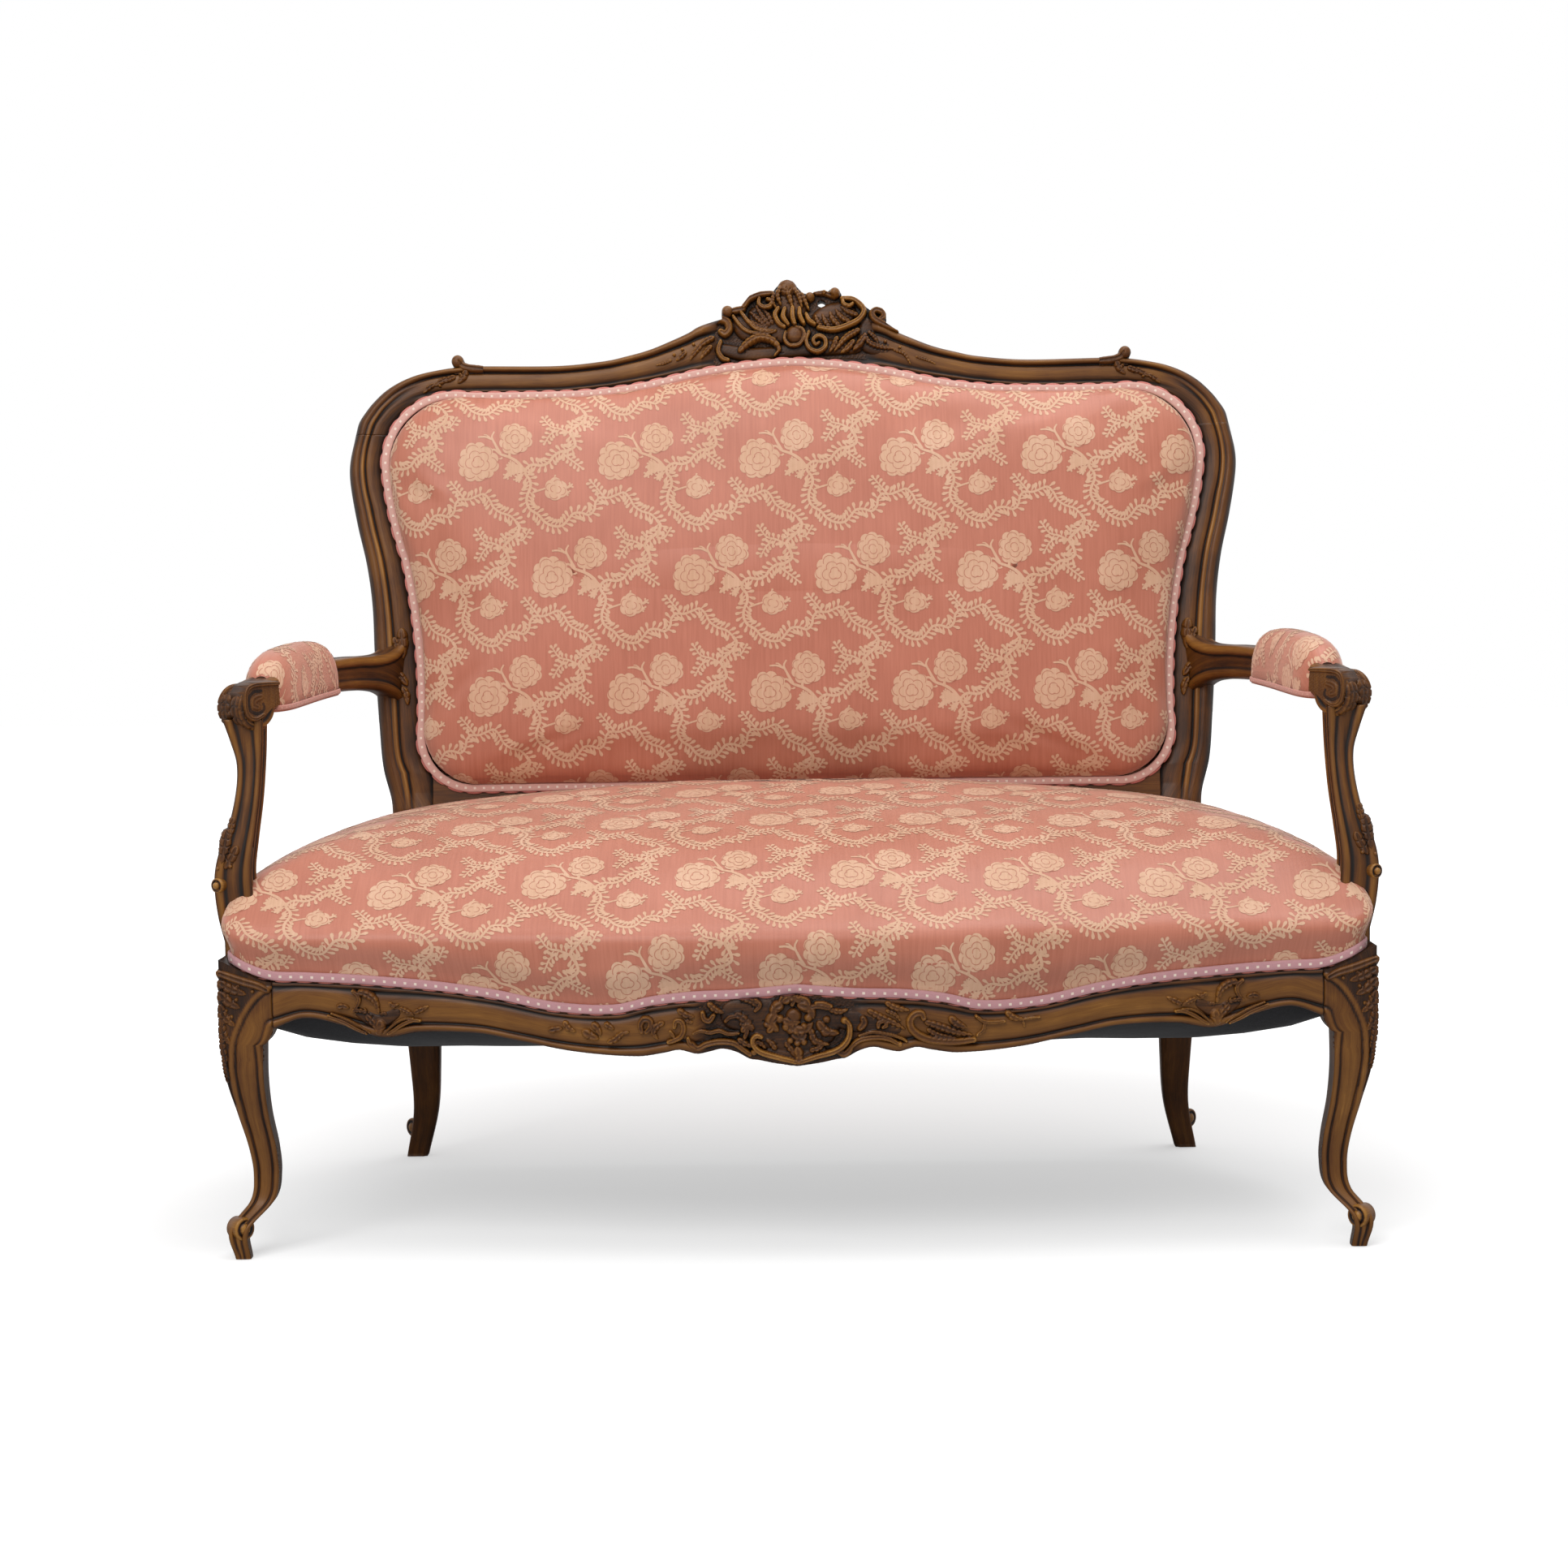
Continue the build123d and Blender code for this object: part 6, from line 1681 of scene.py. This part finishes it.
dustPlan = {"hemZ": 267, "sag": 50, "middleY": -45, "pulls": 22, "pull": 2.2}
dustRings = [(0, 1), (.12, .985), (.32, .95), (.55, .9), (.73, .83), (.87, .75), (.95, .65), (.99, .5),
             (1, .3), (1, .1)]  # share of the sag, size of the ring
x = np.linspace(0, 590, 60)
y = np.linspace(legRearY - 24, plan["stileY"] - 12, 40)
right = np.concatenate([np.stack([x, frontY(x) + 22], 1), np.stack([sideX(y) - 21, y], 1),
                        [(0, plan["stileY"] - 12)]])
hem = bothHalves(evenly(right, 101), closed=True) - (0, dustPlan["middleY"])
turn = np.arctan2(hem[:, 1], hem[:, 0])
rings = []
for fall, share in dustRings:
    pull = dustPlan["pull"] * (1 - share) ** 0.5 * share ** 2 * np.sin(dustPlan["pulls"] * turn)
    height = dustPlan["hemZ"] - fall * dustPlan["sag"] + pull
    rings.append(np.c_[hem * share + (0, dustPlan["middleY"]), height])
faces = gridFaces(len(rings), len(hem), ring=True) + [cap(len(rings) - 1, len(hem))]
dust = addPiece("dustClothSheet", (np.concatenate(rings), faces), blackCotton, ["dust_cloth"],
                (0, 0, -1))
print("cloths made")

# Webbing: woven jute straps, under the springs and behind the back's stuffing
webPlan = {"wide": 50, "thick": 1.5, "lengthways": 270.5, "crossways": 268.9, "apart": 117, "backApart": 140}
webSection = [(-1, .5), (-.94, .12), (-.5, 0), (.5, 0), (.94, .12), (1, .5), (.94, .88), (.5, 1), (-.5, 1),
              (-.94, .88)]


def strap(start, end, up=(0, 0, 1)):
    start, end, up = (np.asarray(v, float) for v in (start, end, up))
    line = start + (end - start) * np.linspace(0, 1, int(np.linalg.norm(end - start) / 12) + 2)[:, None]
    side = unit(np.cross(end - start, up))
    rings = [line + side * a * webPlan["wide"] / 2 + up * b * webPlan["thick"] for a, b in webSection]
    return solidBar(np.stack(rings, 1), 0.4)[:2]


webs = []
for x in np.arange(-4, 5) * webPlan["apart"]:
    rear = plan["stileY"] - 14
    if abs(x) > 435:
        y = np.linspace(legRearY, plan["stileY"], 200)
        rear = float(np.interp(-(abs(x) + 43), -sideX(y), y))
    webs.append(strap((x, float(frontY(x)) + 25, webPlan["lengthways"]), (x, rear, webPlan["lengthways"])))
for y in (-215, -75, 75):
    reach = float(sideX(y + 25)) - 19
    webs.append(strap((-reach, y, webPlan["crossways"]), (reach, y, webPlan["crossways"])))
addPiece("seatWebs", joined(webs), juteWeb, ["seat_webbing"])
webs = []
for x in (np.arange(6) - 2.5) * webPlan["backApart"]:
    top = float(np.interp(abs(x), [0, 74, 150, 300, 410], [993, 987, 973, 955, 955]))
    webs.append(strap(onBack(x, 484, 0.2), onBack(x, top, 0.2), backNormal))
addPiece("backWebs", joined(webs), juteWeb, ["back_webbing"])
print("webbing made")


def wedge(spots, low, high, ease=1.5):  # a block with eased edges, cut to this plan
    spots = np.array(spots, float)
    eased = spots + unit(spots.mean(0) - spots) * ease
    rings = [np.c_[line, np.full(len(spots), z)] for line, z in
             ((eased, low), (spots, low + ease), (spots, high - ease), (eased, high))]
    return solidBar(np.array(rings), 0.4)[:2]


frontCorner = [(526, -268), (572, -268), (572, -248), (597, -248), (597, -190)]
rearCorner = [(418, 225.6), (479, 225.6), (float(sideX(200)) - 30.5, 200), (float(sideX(168)) - 30.5, 168)]
blocks = [wedge(corner, 281, 340) for corner in (frontCorner, rearCorner)]
blocks += [(mirrored(spots), cells) for spots, cells in blocks]
addPiece("cornerBlocksEased", joined(blocks), beech, ["corner_blocks"])

# The CAD pieces that stay get their real materials
ownMaterials = {"rear_rail": plainWalnut, "lower_back_rail": plainWalnut, "crest_dowels": beech,
                "corner_block_screws": screwSteel, "arm_screws": screwSteel, "webbing_tacks": tackSteel,
                "seat_springs": springSteel}
for node, material in ownMaterials.items():
    mesh = bpy.data.objects[node].data
    mesh.materials.clear()
    mesh.materials.append(material)
print("blocks and fixings made")

# Floor, light and camera
floorPaint, tree = startMaterial("paleFloor")
ray = addNode(tree, "LightPath")
far = addNode(tree, "VectorMath", {0: addNode(tree, "TexCoord").outputs["Object"]}, operation="LENGTH")
fade = addNode(tree, "MapRange", {"Value": far.outputs["Value"], "From Min": 0.75, "From Max": 1.7},
               interpolation_type="SMOOTHSTEP")
paint = addNode(tree, "BsdfDiffuse", {"Color": toLinear("#d9d9d9")})
lift = maths(tree, "MULTIPLY", ray.outputs["Is Camera Ray"], 0.5)
glow = addNode(tree, "Emission", {"Color": (1, 1, 1, 1), "Strength": lift})
near = addNode(tree, "AddShader", {0: paint.outputs[0], 1: glow.outputs[0]})
white = addNode(tree, "Emission", {"Color": (1, 1, 1, 1), "Strength": ray.outputs["Is Camera Ray"]})
dull = addNode(tree, "AddShader", {0: paint.outputs[0], 1: white.outputs[0]})
shader = addNode(tree, "MixShader", {0: fade.outputs[0], 1: near.outputs[0], 2: dull.outputs[0]})
addNode(tree, "OutputMaterial", {"Surface": shader.outputs[0]})
corners = [(-5, -5, -0.0005), (5, -5, -0.0005), (5, 9, -0.0005), (-5, 9, -0.0005)]
floorMesh = bpy.data.meshes.new("floor")
floorMesh.from_pydata(corners, [], [(0, 1, 2, 3)])
floorMesh.materials.append(floorPaint)
floor = bpy.data.objects.new("floor", floorMesh)
bpy.context.scene.collection.objects.link(floor)

scene = bpy.context.scene
world = bpy.data.worlds.new("studio")
world.use_nodes = True
scene.world = world
tree = world.node_tree
tree.nodes.clear()
ray = addNode(tree, "LightPath")
seen = maths(tree, "MAXIMUM", ray.outputs["Is Camera Ray"], ray.outputs["Is Glossy Ray"])
seen = maths(tree, "MAXIMUM", seen, ray.outputs["Is Transmission Ray"])
power = addNode(tree, "MapRange", {"Value": seen, "To Min": 0.34, "To Max": 1.0})
background = addNode(tree, "Background", {"Color": (1, 1, 1, 1), "Strength": power.outputs[0]})
addNode(tree, "OutputWorld", {"Surface": background.outputs[0]})


def softLight(name, place, target, size, power):
    lamp = bpy.data.lights.new(name, "AREA")
    lamp.shape = "RECTANGLE"
    lamp.size, lamp.size_y = size
    lamp.energy = power
    holder = bpy.data.objects.new(name, lamp)
    scene.collection.objects.link(holder)
    holder.location = place
    holder.rotation_euler = (Vector(target) - Vector(place)).to_track_quat("-Z", "Y").to_euler()


softLight("keyLight", (-1.2, -3.0, 3.2), (0, 0, 0.6), (2.6, 1.8), 78)
softLight("topLight", (0.4, -0.3, 3.4), (0, 0, 0.5), (3.0, 2.0), 66)

yaw, pitch, roll = radians(-0.43), radians(4.81), radians(-0.78)
ahead = Vector((sin(yaw) * cos(pitch), cos(yaw) * cos(pitch), -sin(pitch)))
level = Vector((cos(yaw), -sin(yaw), 0))
upward = level.cross(ahead)
across = level * cos(roll) + upward * sin(roll)
upward = upward * cos(roll) - level * sin(roll)
lens = bpy.data.cameras.new("camera")
lens.lens = 74.5
lens.sensor_width = 36
camera = bpy.data.objects.new("camera", lens)
stance = Matrix((across, upward, -ahead)).transposed().to_4x4()
camera.matrix_world = Matrix.Translation((0.015, -3.8431, 0.816)) @ stance
scene.collection.objects.link(camera)
scene.camera = camera
scene.view_settings.view_transform = "Standard"
print("stage made")
